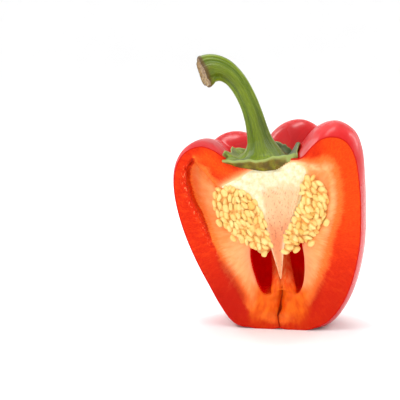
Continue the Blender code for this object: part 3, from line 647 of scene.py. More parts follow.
# ---------------------------------------------------------------- the flesh
CREASE = [(5.4, 21.6), (5.3, 18.3), (5.2, 15.5), (5.1, 13.0), (4.8, 10.0), (4.2, 7.6), (3.8, 5.8), (4.1, 3.2), (4.8, 0.2), (4.9, -2.0)]
PEACH = [(-33.5, 71.5), (-35.3, 67), (-34.6, 61), (-32.6, 55), (-29.6, 49), (-27, 43), (-24.2, 38), (-21.8, 33), (-19.4, 29), (-16, 24.4), (-13, 19.6), (-9.8, 14.2), (-6.5, 8.6), (4.7, 4.5), (12.5, 9.0), (17.2, 14.5), (20.1, 21), (23.6, 30.7), (25.8, 41.6), (28.6, 50.7), (29.2, 59.7), (27.1, 70.6), (24.0, 74.0), (18, 72.6), (8, 72), (-6, 69), (-13.8, 66.2), (-20.8, 61.8), (-24.5, 62.9), (-30, 69.9)]
CREASE_LEFT = [(-33.7, 73.0), (-36.1, 69.6), (-36.4, 63.9), (-34.9, 58.4), (-33.2, 54), (-30.7, 49.6), (-27.9, 44.1), (-26.1, 39.1), (-24.4, 35.6)]


def near_line(line, x, z):
    """Distance in the cut's plane to an open line, and the place along it from 0 to 1."""
    line = np.asarray(line, float)
    near, place = np.full(np.shape(x), 1e9), np.zeros(np.shape(x))
    for i, ((ax, az), (bx, bz)) in enumerate(zip(line[:-1], line[1:])):
        dx, dz = bx - ax, bz - az
        k = np.clip(((x - ax) * dx + (z - az) * dz) / (dx * dx + dz * dz), 0, 1)
        d = np.hypot(x - ax - k * dx, z - az - k * dz)
        place = np.where(d < near, (i + k) / (len(line) - 1), place)
        near = np.minimum(near, d)
    return near, place


def crease_x(z):
    xs, zs = np.array(CREASE)[::-1].T
    return np.interp(z, zs, xs) + 0.1 * np.sin(np.asarray(z) * 0.9) * np.clip((np.asarray(z) - 1) / 4, 0, 1)


def flesh_mesh():
    verts, faces = ball_grid(fruit, 300, 200)
    solid = make("fruit_solid", verts, faces, cutters)
    tree = BVHTree.FromPolygons([tuple(v) for v in verts], faces)

    # All the hollows as one soft form.
    joined_v, joined_f = [], []
    for shape, around, along in (
        (chamber, 120, 70),
        (lens(WINDOW_MIDDLE, WINDOW, WINDOW_DEPTH, steep=0.3), 110, 36),
        (lens(HEART_MIDDLE, HEART, HEART_DEPTH, steep=0.35, scale=0.84), 100, 36),
        (lens(LEFT_MIDDLE, LEFT, left_depth, steep=0.35), 110, 36),
        (lens(RIGHT_MIDDLE, RIGHT, 1.5, steep=0.7, scale=0.96), 100, 36),
    ):
        v, f = ball_grid(shape, around, along)
        base = sum(len(a) for a in joined_v)
        joined_v.append(v)
        joined_f += [[i + base for i in face] for face in f]
    hollow = make("hollows", np.vstack(joined_v), joined_f, cutters)
    rib = make("rib", *back_rib(), cutters)
    # Each form must point outwards by itself before they are merged.
    m = hollow.modifiers.new("merge", "REMESH")
    m.mode = "VOXEL"
    m.voxel_size = 0.62 * MM
    bpy.context.view_layer.update()
    hollow.data = bpy.data.meshes.new_from_object(hollow.evaluated_get(bpy.context.evaluated_depsgraph_get()))
    hollow.modifiers.clear()
    m = hollow.modifiers.new("rib", "BOOLEAN")
    m.operation = "DIFFERENCE"
    m.solver = "MANIFOLD"
    m.object = rib
    m = hollow.modifiers.new("merge", "REMESH")
    m.mode = "VOXEL"
    m.voxel_size = 0.6 * MM
    bpy.context.view_layer.update()
    merged = bpy.data.meshes.new_from_object(hollow.evaluated_get(bpy.context.evaluated_depsgraph_get()))
    hollow.modifiers.clear()
    p = coords(merged)
    e = edges_of(merged)
    p = relax(p, e, np.full(len(p), 1.0), 3)
    set_coords(merged, p)
    hollow.data = merged

    under = make("under", *box_mesh((-70, -60, -20), (70, 80, 0)), cutters, smooth=False)
    ahead = make("ahead", *box_mesh((-70, -80, -20), (70, CUT_Y - 3.5, 120)), cutters, smooth=False)
    for other in (ahead, under, hollow):
        b = solid.modifiers.new("less_" + other.name, "BOOLEAN")
        b.operation = "DIFFERENCE"
        b.solver = "MANIFOLD"
        b.object = other
    bpy.context.view_layer.update()
    me = bpy.data.meshes.new_from_object(solid.evaluated_get(bpy.context.evaluated_depsgraph_get()))
    solid.modifiers.clear()

    # The knife.
    bm = bmesh.new()
    bm.from_mesh(me)
    plane = (CUT_Y + ORIGIN[1]) * MM
    bmesh.ops.bisect_plane(bm, geom=bm.verts[:] + bm.edges[:] + bm.faces[:], dist=1e-7, plane_co=(0, plane, 0), plane_no=(0, -1, 0), clear_outer=True)
    bmesh.ops.remove_doubles(bm, verts=[v for v in bm.verts if abs(v.co.y - plane) < 2e-6], dist=0.02 * MM)
    bm.verts.ensure_lookup_table()
    ring_edges = [ed for ed in bm.edges if len(ed.link_faces) == 1]
    ring = sorted({v for ed in ring_edges for v in ed.verts}, key=lambda v: v.index)
    number = {v: i for i, v in enumerate(ring)}
    flat = np.array([(v.co.x / MM - ORIGIN[0], v.co.z / MM - ORIGIN[2]) for v in ring])
    pairs = [(number[ed.verts[0]], number[ed.verts[1]]) for ed in ring_edges]
    segs = np.array([(*flat[a], *flat[b]) for a, b in pairs])

    def inside(x, z):
        hit = np.zeros(len(x), bool)
        for ax, az, bx, bz in segs:
            if az != bz:
                hit ^= ((az > z) != (bz > z)) & (x < ax + (z - az) * (bx - ax) / (bz - az))
        return hit

    def near_ring(x, z):
        near = np.full(len(x), 1e9)
        for ax, az, bx, bz in segs:
            dx, dz = bx - ax, bz - az
            k = np.clip(((x - ax) * dx + (z - az) * dz) / (dx * dx + dz * dz + 1e-12), 0, 1)
            near = np.minimum(near, np.hypot(x - ax - k * dx, z - az - k * dz))
        return near

    rng = np.random.default_rng(4)
    step = 0.62
    gx, gz = np.meshgrid(np.arange(-46, 46, step), np.arange(-1, 92, step * 0.87))
    gx = gx + (np.arange(gx.shape[0]) % 2)[:, None] * step / 2
    pts = np.stack([gx.ravel(), gz.ravel()], 1) + rng.uniform(-0.12, 0.12, (gx.size, 2))
    # Finer points along the crease.
    zz = np.arange(0.0, 20.0, 0.36)
    extra = [np.stack([crease_x(zz) + off, zz], 1) for off in (-1.3, -0.95, -0.65, -0.4, -0.2, 0.0, 0.2, 0.4, 0.65, 0.95, 1.3)]
    far = np.abs(pts[:, 0] - crease_x(pts[:, 1])) > 1.55
    pts = np.vstack([pts[far | (pts[:, 1] > 20.3)], *extra])
    pts = pts[inside(pts[:, 0], pts[:, 1])]
    pts = pts[near_ring(pts[:, 0], pts[:, 1]) > 0.3]
    from mathutils.geometry import delaunay_2d_cdt

    out = delaunay_2d_cdt([Vector(q) for q in np.vstack([flat, pts])], pairs, [], 0, 1e-6, True)
    new_v, new_f, origin = out[0], out[2], out[3]
    made = []
    for q, o in zip(new_v, origin):
        old = [i for i in o if i < len(ring)]
        made.append(ring[old[0]] if old else bm.verts.new(((q[0] + ORIGIN[0]) * MM, plane, (q[1] + ORIGIN[2]) * MM)))
    q = np.array([tuple(v) for v in new_v])
    tri = np.array(new_f)
    mid = q[tri].mean(1)
    keep = inside(mid[:, 0], mid[:, 1])
    cut_faces = []
    for t in tri[keep]:
        corner = [made[i] for i in t]
        if len(set(corner)) == 3:
            try:
                face = bm.faces.new(corner)
                face.material_index = 2
                cut_faces.append(face)
            except ValueError:
                pass
    bmesh.ops.recalc_face_normals(bm, faces=bm.faces)
    if bm.calc_volume(signed=True) < 0:
        bmesh.ops.reverse_faces(bm, faces=bm.faces)
    done = bpy.data.meshes.new("flesh_looks")
    bm.to_mesh(done)
    bm.free()
    return done, tree


RIB = [(-2.2, 27.0, 66.0), (-0.6, 23.0, 54.0), (0.8, 17.5, 42.0), (1.9, 12.0, 33.0), (3.7, 5.5, 25.5), (5.4, -4.0, 20.0), (6.1, -8.4, 15.5), (6.2, -8.6, 8.0)]


def back_rib():
    """The rib at the back, seen through the window: two rounded folds that run forwards to the blossom end."""
    rows, cols = 90, 72
    v = np.linspace(0, 1, rows)[:, None]
    u = np.linspace(0, 1, cols, endpoint=False)[None, :] * 2 * pi
    spine = through(RIB, v[:, 0])
    wide = np.interp(v[:, 0], [0, 0.3, 0.6, 0.8, 1], [3.2, 3.8, 4.4, 5.5, 5.8])[:, None]
    deep = np.interp(v[:, 0], [0, 0.5, 0.8, 1], [5.0, 6.0, 5.0, 2.0])[:, None]
    tangent = np.gradient(spine, axis=0)
    tangent /= np.linalg.norm(tangent, axis=1)[:, None]
    side = np.array([1.0, 0, 0]) - tangent * tangent[:, :1]
    side /= np.linalg.norm(side, axis=1)[:, None]
    back = np.cross(tangent, side)
    back[back[:, 1] < 0] *= -1
    # Front of the section: two folds with a crease between them; its back is buried in the wall.
    c, s = np.cos(u), np.sin(u)
    pinch = 1.5 * np.exp(-(((c + 0.18 * ease((v - 0.55) / 0.35)) / 0.16) ** 2)) * (s < 0)
    reach = np.where(s < 0, 1.9 * np.abs(s) ** 0.8 - pinch, 0)
    across = c * wide
    depth = np.where(s < 0, -reach, s * deep)
    P = spine[:, None] + side[:, None] * across[..., None] + back[:, None] * depth[..., None]
    verts = np.vstack([P.reshape(-1, 3), spine[:1] + back[:1] * 2, spine[-1:] + back[-1:]])
    k = np.arange(cols)
    k2 = (k + 1) % cols
    faces = []
    for i in range(rows - 1):
        a, b = i * cols, (i + 1) * cols
        faces += np.stack([a + k, a + k2, b + k2, b + k], -1).tolist()
    faces += [[rows * cols, int(k2[j]), int(k[j])] for j in range(cols)]
    a = (rows - 1) * cols
    faces += [[rows * cols + 1, int(a + k[j]), int(a + k2[j])] for j in range(cols)]
    return verts, faces


def box_mesh(low, high):
    x0, y0, z0 = low
    x1, y1, z1 = high
    v = [(x, y, z) for z in (z0, z1) for y in (y0, y1) for x in (x0, x1)]
    return np.array(v, float), [[0, 2, 3, 1], [4, 5, 7, 6], [0, 1, 5, 4], [2, 6, 7, 3], [0, 4, 6, 2], [1, 3, 7, 5]]


def flesh_piece():
    me, tree = flesh_mesh()
    p = coords(me) / MM - OFFSET
    e = edges_of(me)
    n = len(p)
    depth = np.empty(n)
    for i, q in enumerate(p):
        depth[i] = tree.find_nearest(Vector(q))[3]
    polys = me.polygons
    kind = np.empty(len(polys), int)
    polys.foreach_get("material_index", kind)
    starts = np.empty(len(polys), int)
    totals = np.empty(len(polys), int)
    polys.foreach_get("loop_start", starts)
    polys.foreach_get("loop_total", totals)
    corner = np.empty(len(me.loops), int)
    me.loops.foreach_get("vertex_index", corner)
    owner = np.repeat(np.arange(len(polys)), totals)
    deepest = np.zeros(len(polys))
    np.maximum.at(deepest, owner, np.where(p[corner, 2] < 0.02, 0.0, depth[corner]))
    cut = kind == 2
    skin = (~cut) & (deepest < 0.12)
    # Faces: 0 skin, 1 everything that the knife or the hollows opened.
    polys.foreach_set("material_index", np.where(skin, 0, 1).astype(np.int32))

    on_skin = np.zeros(n, bool)
    on_skin[corner[skin[owner]]] = True
    on_cut = np.zeros(n, bool)
    on_cut[corner[cut[owner]]] = True
    on_room = np.zeros(n, bool)
    on_room[corner[(~cut & ~skin)[owner]]] = True
    x, y, z = p.T
    lip = on_cut & on_room & ~on_skin  # the edges of the hollows on the cut

    # Edges of the hollows are soft, apart from the crease on the left, which is crisp.
    d_left, place_left = near_line(CREASE_LEFT, x, z)
    close = spread(np.where(lip, 1.0, 0.0), e, 4)
    close = np.clip(close / max(close[lip].mean(), 1e-6), 0, 1) ** 0.7
    soft = np.where(d_left < 1.5, 0.35, 1.0)
    weight = np.where(on_skin, 0.0, close * soft)
    p = relax(p, e, weight, 10, keep_volume=False)
    weight = np.where(on_skin, 0.0, np.clip(close * 1.5, 0, 1) * soft)
    p = relax(p, e, weight, 6)

    # Relief of the cut: folded crease below, swelling humps beside it, and slightly uneven flesh.
    x, y, z = p.T
    face = np.where(on_cut & ~on_skin, 1.0, 0.0)
    away = np.abs(x - crease_x(z))
    wide = 0.6 + 1.7 * ease((z - 7) / 11)
    fold = (1.1 + 2.6 * ease((z - 9) / 9)) * np.exp(-((away / wide) ** 1.15)) * ease((22.5 - z) / 3.0)
    hump = 2.0 * np.exp(-(((away - 4.2) / 2.8) ** 2)) * np.exp(-(((z - 9.5) / 5.5) ** 2)) * ease((z - 0.5) / 6)
    hump = hump - 0.7 * np.exp(-(((z - 13.6 + 0.05 * (x - 4.7) ** 2 * (away < 9)) / 1.3) ** 2)) * ease((7.5 - away) / 4)
    fold = fold + 1.5 * np.exp(-((away / 0.95) ** 2)) * np.exp(-(((z - 9.0) / 3.0) ** 2))
    hump = hump + 0.35 * lumps(p, 2.6, 6.0) * ease((17 - z) / 3) * ease((12 - away) / 5)
    calm = np.clip(depth / 2.0, 0, 1)
    rolling = lumps(p, 9.0, 3.0) * 0.35 + lumps(p, 3.2, 8.0) * 0.12
    tail, tail_at = near_line([(12.5, 72.2), (17.0, 71.2), (22.5, 70.2), (26.0, 71.4)], x, z)
    hump = hump + 0.7 * np.exp(-((tail / 1.1) ** 2)) * (1 - tail_at) - 0.6 * np.exp(-(((x - 19.5) / 4.0) ** 2 + ((z - 67.2) / 1.8) ** 2))
    tear, tear_at = near_line(CREASE_LEFT, x, z)
    fold = fold + 0.9 * np.exp(-((tear / 0.9) ** 2)) * (1 - 0.6 * tear_at) * np.clip(0.7 + 1.2 * lumps(p, 1.3, 9.0), 0, 1.6)
    y = y + face * (fold * np.clip(depth / 0.5 + 0.25, 0, 1) - hump * calm + rolling * calm)
    p = np.stack([x, y, z], 1)
    set_coords(me, to_m(p))

    # What the material needs to know.
    sink = ease((y - CUT_Y - 0.5) / 1.5)
    win = outside(rounded(WINDOW), x, z)
    room = np.where(on_skin | (on_cut & ~on_room), 0.0, np.maximum(sink * ease((1.4 - win) / 1.2) * ease((46 - z) / 8), ease((y + 4.6) / 2.2)))
    room = spread(room, e, 1) * (1 - 0.85 * ease((22.0 - z) / 4.5) * ease((8.5 - away) / 4))
    theta = np.arctan2(x - 2.0, -(z - 44.0))
    attribute(me, "fibre", np.stack([theta * 30.0, np.hypot(x - 2.0, z - 44.0), y], 1))
    attribute(me, "depth", np.where(on_skin, 0.0, np.maximum(depth, 0)))
    inward = -outside(rounded(PEACH, 160), x, z)
    beside = np.exp(-((d_left / 4.0) ** 2))
    inward = np.where(inward < 0, inward * (1 + 2.5 * beside), inward)
    attribute(me, "inward", inward)
    attribute(me, "ragged", (1.5 + 1.3 * ease((-14 - x) / 8) * ease((z - 14) / 12) + 0.8 * ease((x - 18) / 6) * ease((40 - z) / 12)) * (1 - 0.7 * beside))
    crest, place = near_line([(22.5, 33), (24.2, 42), (25.8, 50), (26.8, 58), (26.4, 66), (24.8, 72)], x, z)
    pale = np.exp(-((crest / 2.4) ** 2)) * 0.62 * np.sin(pi * np.clip(0.12 + 0.8 * place, 0, 1)) + 0.6 * np.exp(-(((x + 14) / 8) ** 2 + ((z - 32) / 15) ** 2)) + 0.5 * np.exp(-(((x - 19) / 3.5) ** 2 + ((z - 30) / 11) ** 2)) + 0.6 * np.exp(-(((x + 26) / 4) ** 2 + ((z - 56) / 8) ** 2))
    attribute(me, "pale", pale)
    attribute(me, "pink", 0.85 * np.exp(-np.clip(win - 0.2, 0, None) / 1.8) * ease((z - 17) / 5) * (1 - 0.5 * ease((z - 38) / 5)))
    swell = ease((19.0 - z + 0.12 * np.abs(x - 4.7) ** 1.3) / 5.5) * ease((14.5 - away) / 5) * (0.1 + 0.9 * ease((z - 0.5) / 8.5))
    swell = np.maximum(swell, ease((26 - z) / 4) * ease((9.0 - away) / 3) * ease((z - 12) / 3))
    attribute(me, "humps", swell)
    into = signed_core(x, z)
    tail, tail_at = near_line([(12.5, 72.2), (17.0, 71.2), (22.5, 70.2), (26.0, 71.4)], x, z)
    streak = np.exp(-((tail / (1.5 - 0.4 * tail_at)) ** 2)) * (0.8 - 0.6 * tail_at) * np.clip(0.75 + 0.9 * lumps(p, 1.5, 3.0, 3), 0, 1)
    attribute(me, "cream", np.maximum(np.exp(-np.clip(into, 0, None) / 0.8) * ease((z - 60.0) / 2.5) * 0.9, streak))
    # Painted shade along the window's bottom lip.
    painted_lip_shade = np.exp(-(((win - 0.35) / 0.55) ** 2)) * ease((20.5 - z) / 3.5) * ease((away - 0.6) / 1.2)
    attribute(me, "lip", painted_lip_shade)
    # Where the painted shade under the window's lip and along the fissure lies.
    attribute(me, "under", np.exp(-(((z - 13.3) / 1.5) ** 2)) * np.exp(-(((away - 2.6) / 3.2) ** 2)) + 0.8 * np.exp(-((away / 1.3) ** 2)) * ease((17 - z) / 3))
    # Where the painted shade of the lower, left cut wall lies.
    attribute(me, "low", ease((36 - z) / 26) * (0.7 + 0.6 * ease(-x / 18)))
    attribute(me, "room", np.clip(room, 0, 1))
    spine = np.array(RIB)
    off = x - np.interp(z, spine[::-1, 2], spine[::-1, 0]) + 1.0 * ease((29 - z) / 9)
    ahead = y - np.interp(z, spine[::-1, 2], spine[::-1, 1])
    broad = np.where(off > 0, 4.6 + 1.4 * ease((29 - z) / 9), 3.4)
    rib = np.exp(-((np.abs(off) / broad) ** 2.4)) * ease((3.5 - ahead) / 3.0)
    attribute(me, "rib", np.clip(rib, 0, 1))
    # Painted shade in the crease between the rib's two folds.
    attribute(me, "painted_rib_crease_shade", np.exp(-((off / 0.4) ** 2)) * ease((3.5 - ahead) / 3.0) * room)
    inner = x - np.interp(z, [35.6, 39.1, 44.1, 49.6, 54, 58.4, 63.9, 69.6, 73.0], [-24.4, -26.1, -27.9, -30.7, -33.2, -34.9, -36.4, -36.1, -33.7])
    # The deeper red of the torn wall, with painted shade in the tear.
    torn_and_shade = np.exp(-((d_left / (1.15 - 0.35 * place_left)) ** 2)) * (0.95 - 0.3 * place_left)
    attribute(me, "torn_and_shade", np.clip(torn_and_shade, 0, 1) * (y < 2))
    attribute(me, "warm", 0.85 * np.exp(-np.clip(inner - 0.6, 0, None) / (2.2 + 1.6 * ease((62 - z) / 12))) * (inner > 0) * ease((z - 33) / 6) * ease((76 - z) / 2))
    # Where the painted highlights on the torn fibres lie.
    attribute(me, "painted_fibre_glints", np.exp(-(((inner + 1.3) / 0.8) ** 2)) * ease((z - 34) / 4) * ease((72 - z) / 3) + 0.6 * np.exp(-(((inner - 1.4) / 0.8) ** 2)) * ease((z - 30) / 4) * ease((56 - z) / 6))
    wedge = 0.35 + 0.6 * np.exp(-(((z - 8.8) / 2.6) ** 2))
    shadow = 0.75 * np.exp(-((d_left / 0.5) ** 2)) * (1 - 0.7 * place_left) * np.clip(0.6 + 1.3 * lumps(p, 1.6, 2.0), 0, 1) + 0.9 * np.exp(-((away / wedge) ** 2)) * ease((20 - z) / 2)
    attribute(me, "crease", np.clip(shadow, 0, 1) * (y < 2))
    amber, amber_at = near_line([(-27.5, 74.5), (-23, 70.5), (-16, 66)], x, z)
    attribute(me, "amber", 0.9 * np.exp(-((amber / 3.4) ** 2)) + 0.65 * ease((x - 18) / 8) * ease((z - 26) / 30))
    # Where the painted shade along the lower limit between wall and peach flesh lies.
    attribute(me, "painted_boundary_shade", np.exp(-(((inward + 1.6) / 2.0) ** 2)) * ease((36 - z) / 10) * ease((z - 9) / 6) * ease((2 - x) / 4) + 0.5 * np.exp(-(((inward + 2.0) / 2.0) ** 2)) * ease((26 - z) / 8) * ease((z - 8) / 6) * ease(x / 6))
    # Round the skin: a coordinate along the furrows, and where the fruit turns in under the calyx.
    attribute(me, "wrap", np.stack([np.degrees(np.arctan2(y, x - BASE_X + z * tan(LEAN))), z, 0 * z], 1))
    seat = ease((17 - np.hypot(x + 3.0, y)) / 6) * ease((z - 60) / 5)
    attribute(me, "seat", np.where(on_skin, seat, 0.0))
    attribute(me, "shine", 1 - (0.35 + 0.3 * ease((-8 - x) / 10)) * ease((z - 60) / 10) * ease((6 - y) / 12))

    sharp = me.attributes.new("sharp_edge", "BOOLEAN", "EDGE")
    side = {}
    edge_of = np.empty(len(me.loops), int)
    me.loops.foreach_get("edge_index", edge_of)
    has_skin = np.zeros(len(me.edges), bool)
    has_rest = np.zeros(len(me.edges), bool)
    has_skin[edge_of[skin[owner]]] = True
    has_rest[edge_of[~skin[owner]]] = True
    sharp.data.foreach_set("value", has_skin & has_rest)
    me.materials.append(skin_material())
    me.materials.append(flesh_material())
    me.polygons.foreach_set("use_smooth", np.ones(len(polys), bool))
    me.update()
    obj = bpy.data.objects.new("flesh_looks", me)
    bpy.context.scene.collection.objects.link(obj)
    return obj


def signed_core(x, z):
    return outside(rounded(CORE_FACE), x, z)


# ---------------------------------------------------------------- the core
CORE_FACE = [(14.6, 64.5), (15.2, 69.4), (12.6, 72.4), (8.0, 72.6), (2.6, 69.6), (-2.6, 69.4), (-7.8, 69.0)] + CORE[7:]


def core_piece():
    verts, faces = ball_grid(lens(CORE_MIDDLE, CORE_FACE, core_depth), 260, 110)
    x, y, z = verts.T
    d = -signed_core(x, z)
    rise = 0.42 * (1 - np.exp(-np.clip(d, 0, None) / 0.55)) - 0.1
    sponge = 0.75 * lumps(verts, 4.2, 1.0, 4) * ease((z - 50) / 12) + 0.10 * lumps(verts, 1.6, 5.0, 3)
    crest = np.interp(z, [28, 40, 52, 58, 66], [3.4, 5.6, 10.0, 11.9, 13.0])
    ridge = (0.8 * np.exp(-(((x - crest) / 0.8) ** 2)) - 0.45 * np.exp(-(((x - crest + 1.9) / 0.9) ** 2))) * ease((z - 44) / 8)
    top = 0.5 * ease((z - 58) / 8)
    front = CUT_Y - rise - (sponge + ridge + top) * np.clip(d / 1.2, 0, 1)
    y = np.where(y < front + 1.0, front + 0.5 * ((y - front) + np.sqrt((y - front) ** 2 + 0.05)), y)
    verts = np.stack([x, y, z], 1)
    obj = make("core_looks", verts, faces)
    me = obj.data
    p = coords(me) / MM - OFFSET
    x, y, z = p.T
    axis = np.interp(z, [22, 34, 46, 56, 64, 70], [4.9, 3.6, 4.2, 5.2, 5.0, 4.0])
    half = np.interp(z, [22, 34, 46, 54, 60, 66], [1.0, 2.8, 5.8, 7.8, 9.0, 10.0])
    tongue = ease((half - np.abs(x - axis)) / 4.0 + 0.5) * ease((69.5 - z) / 11)
    attribute(me, "peach", tongue * (0.6 + 0.55 * ease((56 - z) / 20)))
    right = np.interp(z, [22, 28, 34, 40.4, 46, 51.8, 57.8, 64.5, 69], [4.9, 5.6, 6.0, 7.0, 9.1, 11.6, 13.4, 14.4, 14.8])
    attribute(me, "rim", np.exp(-(((right - x) / 0.9) ** 2)) * ease((z - 30) / 12) + 0.5 * np.exp(-np.clip(-signed_core(x, z), 0, None) / 0.6) * ease((z - 20) / 20))
    me.materials.append(core_material())
    return obj


# ---------------------------------------------------------------- the calyx and the stem
def calyx_reach(angle):
    """Radius of the calyx's rim, with pointed and wavy leaves."""
    a = np.degrees(angle)
    rim = np.full(np.shape(angle), float(CALYX_NOTCH) - 0.6)
    for at, reach in CALYX_POINTS:
        off = np.abs((a - at + 180) % 360 - 180)
        rim = rim + (reach + 0.5 - CALYX_NOTCH) * np.exp(-((off / 19) ** 1.5))
    return rim + 0.22 * np.sin(angle * 5 + 0.6) + 0.12 * np.sin(angle * 13 + 2.0) + 0.08 * np.sin(angle * 29)


def stem_ring(t, angles):
    here = through(STEM, np.array([t]))[0]
    ahead = through(STEM, np.array([min(t + 0.01, 1)]))[0][:3] - through(STEM, np.array([max(t - 0.01, 0)]))[0][:3]
    ahead /= np.linalg.norm(ahead)
    if t < 0.12:
        w = t / 0.12
        ahead = ahead * w + np.array([-sin(LEAN), 0, cos(LEAN)]) * (1 - w)
        ahead /= np.linalg.norm(ahead)
    side = np.cross([0, 1, 0], ahead)
    side /= np.linalg.norm(side)
    up = np.cross(ahead, side)
    swell = 1 + 0.062 * np.cos(STEM_RIDGES * angles + 0.8 + 0.6 * t) - 0.03 * np.exp(-(((np.cos(STEM_RIDGES * angles + 0.8 + 0.6 * t) + 1) / 0.22) ** 2)) + 0.018 * np.cos(11 * angles + 2.2 + 1.1 * t) + 0.008 * np.cos(23 * angles + 5 * t)
    swell = swell + 0.05 * ease((t - 0.86) / 0.14) * np.cos(3 * angles + 0.4)
    r = here[3] * swell
    return here[:3] + np.outer(r * np.cos(angles), side) + np.outer(r * np.sin(angles), up), ahead


def green_parts():
    around = 288
    angles = np.arange(around) / around * 2 * pi
    reach = calyx_reach(angles)

    def place(r):
        return CALYX_C[0] + r * np.cos(angles), CALYX_C[1] + r * np.sin(angles)

    # Curl of the leaves: the one behind at the right stands up, the others droop or lift a little.
    def curl(r):
        a = np.degrees(angles)

        def bump(at, width):
            return np.exp(-((((a - at + 180) % 360 - 180) / width) ** 2))

        out = ease((r - 10.5) / 7.0)
        lift = 3.4 * bump(20, 30) + 0.8 * bump(85, 30) + 0.5 * bump(150, 26) + 0.3
        wave = 0.22 * np.sin(angles * 7 + 1.0) + 0.10 * np.sin(angles * 17) + 0.5 * bump(24, 34) * np.sin(angles * 23)
        return out * (lift + wave * ease((r - 12) / 4))

    fractions = np.linspace(0.0, 1.0, 34)[1:]
    rings, info = [], []
    ground_cache = {}

    def ground(r):
        x, y = place(r)
        return shoulder(x, y)

    table_r = np.linspace(1.0, 22.0, 22)
    table = np.array([ground(np.full(around, r)) for r in table_r])

    def floor_at(r):
        return np.array([np.interp(r[k], table_r, table[:, k]) for k in range(around)])

    def thickness(r):
        left = np.clip((reach - r) / np.maximum(reach - 8.6, 1), 0, 1)
        return 0.75 + 1.9 * left**1.3

    # In front of the cut, the calyx hangs free: its underside slopes from the flesh up to the rim.
    rim_x, rim_y = place(reach)
    wavy = 0.28 * np.sin(rim_x * 0.55 + 0.7) + 0.14 * np.sin(rim_x * 1.3)
    rim_z = np.interp(rim_x, [-21, -15.6, -12.2, -2.8, 4.8, 9, 12], [72.4, 72.8, 72.7, 73.7, 75.0, 75.8, 76.6]) + wavy

    def capped(z, cap):
        return 0.5 * (z + cap - np.sqrt((z - cap) ** 2 + 0.5))

    def under_z(r):
        x, y = place(r)
        foot = np.interp(x, [-17, -12.5, -3.8, 2.8, 6.4, 10, 13], [70.6, 69.0, 68.2, 68.0, 70.3, 72.2, 74.4])
        s = np.clip((CUT_Y - y) / np.maximum(CUT_Y - rim_y, 0.6), 0, 1)
        hang = foot + (rim_z - foot) * s**0.8
        w = ease((-8.6 - y) / 2.2)
        return capped((floor_at(r) + GAP + 0.15 + curl(r)) * (1 - w) + hang * w, 78.9 + 0.35 * np.sin(angles * 21) * ease((r - 11) / 3))

    def top_z(r):
        x, y = place(r)
        hub = np.interp(r, [0, 7.4, CALYX_HUB, 10, 11.5, 13.5], [4.4, 4.4, 2.6, 1.3, 0.45, 0])
        free = floor_at(r) + GAP + 0.15 + curl(r) + thickness(r) + hub
        foot = (floor_at(np.full(around, 9.2)) + 5.6) * 0.5 + 38.2
        q = np.clip((r - 9.2) / np.maximum(reach - 9.2, 0.6), 0, 1)
        hang = foot + (rim_z + 0.8 - foot) * q**0.75
        w = ease((-6.0 - y) / 4.0)
        return capped(free * (1 - w) + hang * w, 79.7 + 0.35 * np.sin(angles * 21) * ease((r - 11) / 3))

    # Underside, from the middle outwards.
    for f in fractions:
        r = reach * f
        x, y = place(r)
        rings.append(np.stack([x, y, under_z(r)], 1))
        info.append(("under", f))
    # The rim, rounded.
    under_rim = rings[-1]
    r = reach
    over_rim = top_z(reach)
    for k in (0.25, 0.5, 0.75):
        bulge = reach + 0.3 * sin(pi * k)
        x, y = place(bulge)
        rings.append(np.stack([x, y, under_rim[:, 2] * (1 - k) + over_rim * k], 1))
        info.append(("rim", k))
    # The top, inwards to the foot of the stem.
    for f in np.linspace(1.0, 0.0, 30)[:-1]:
        r = 9.2 + (reach - 9.2) * f
        x, y = place(r)
        vein = 0.22 * np.cos(2 * STEM_RIDGES * angles + 0.8) * ease((r - 8) / 3) * ease((reach - r) / 3)
        rings.append(np.stack([x, y, top_z(r) + vein], 1))
        info.append(("top", f))
    n_calyx = len(rings)
    for t in np.concatenate([np.linspace(0.035, 0.2, 14), np.linspace(0.2, 0.93, 66)[1:], np.linspace(0.93, 1.0, 12)[1:]]):
        ring, ahead = stem_ring(float(t), angles)
        # The end is cut aslant, and shows some of its face to the front.
        back_to_front = (ring[:, 1] - ring[:, 1].mean()) / 6.0
        ring = ring + np.outer(1.25 * back_to_front * ease((t - 0.8) / 0.2), ahead)
        middle_of = ring.mean(0)
        low_side = np.clip((middle_of[2] - ring[:, 2]) / 6.0, 0, 1) ** 2
        ring = middle_of + (ring - middle_of) * (1 + 0.16 * low_side * ease((t - 0.9) / 0.1) ** 2)[:, None]
        rings.append(ring)
        info.append(("stem", float(t)))
    last = rings[-1]
    middle = last.mean(0)
    for k, (f, sink) in enumerate([(0.97, -0.35), (0.92, -0.5), (0.86, -0.35), (0.8, 0.1), (0.72, 0.35), (0.6, 0.5), (0.48, 0.55), (0.36, 0.5), (0.24, 0.4), (0.12, 0.35), (0.03, 0.35)]):
        ring = middle + (last - middle) * f
        crumb = np.array([noise.fractal(tuple(q * 0.55), 1.0, 2.0, 3) for q in ring]) * 0.5 * (1 if k > 1 else 0.3)
        notch = 1.1 * np.exp(-(((np.degrees(angles) - 215 + 180) % 360 - 180) / 16) ** 2) * (1 if k < 6 else 0)
        rings.append(ring - np.outer(sink + crumb + notch - 0.4, ahead) * 1.0)
        info.append(("end", f))
    P = np.array(rings)
    # Ease the join between the calyx and the stem.
    low, high = n_calyx - 8, n_calyx + 9
    for _ in range(24):
        P[low:high] = 0.5 * P[low:high] + 0.25 * (P[low - 1 : high - 1] + P[low + 1 : high + 1])

    kinds = [k for k, _ in info]
    values = [v for _, v in info]
    split = n_calyx + 2
    a = np.degrees(angles)

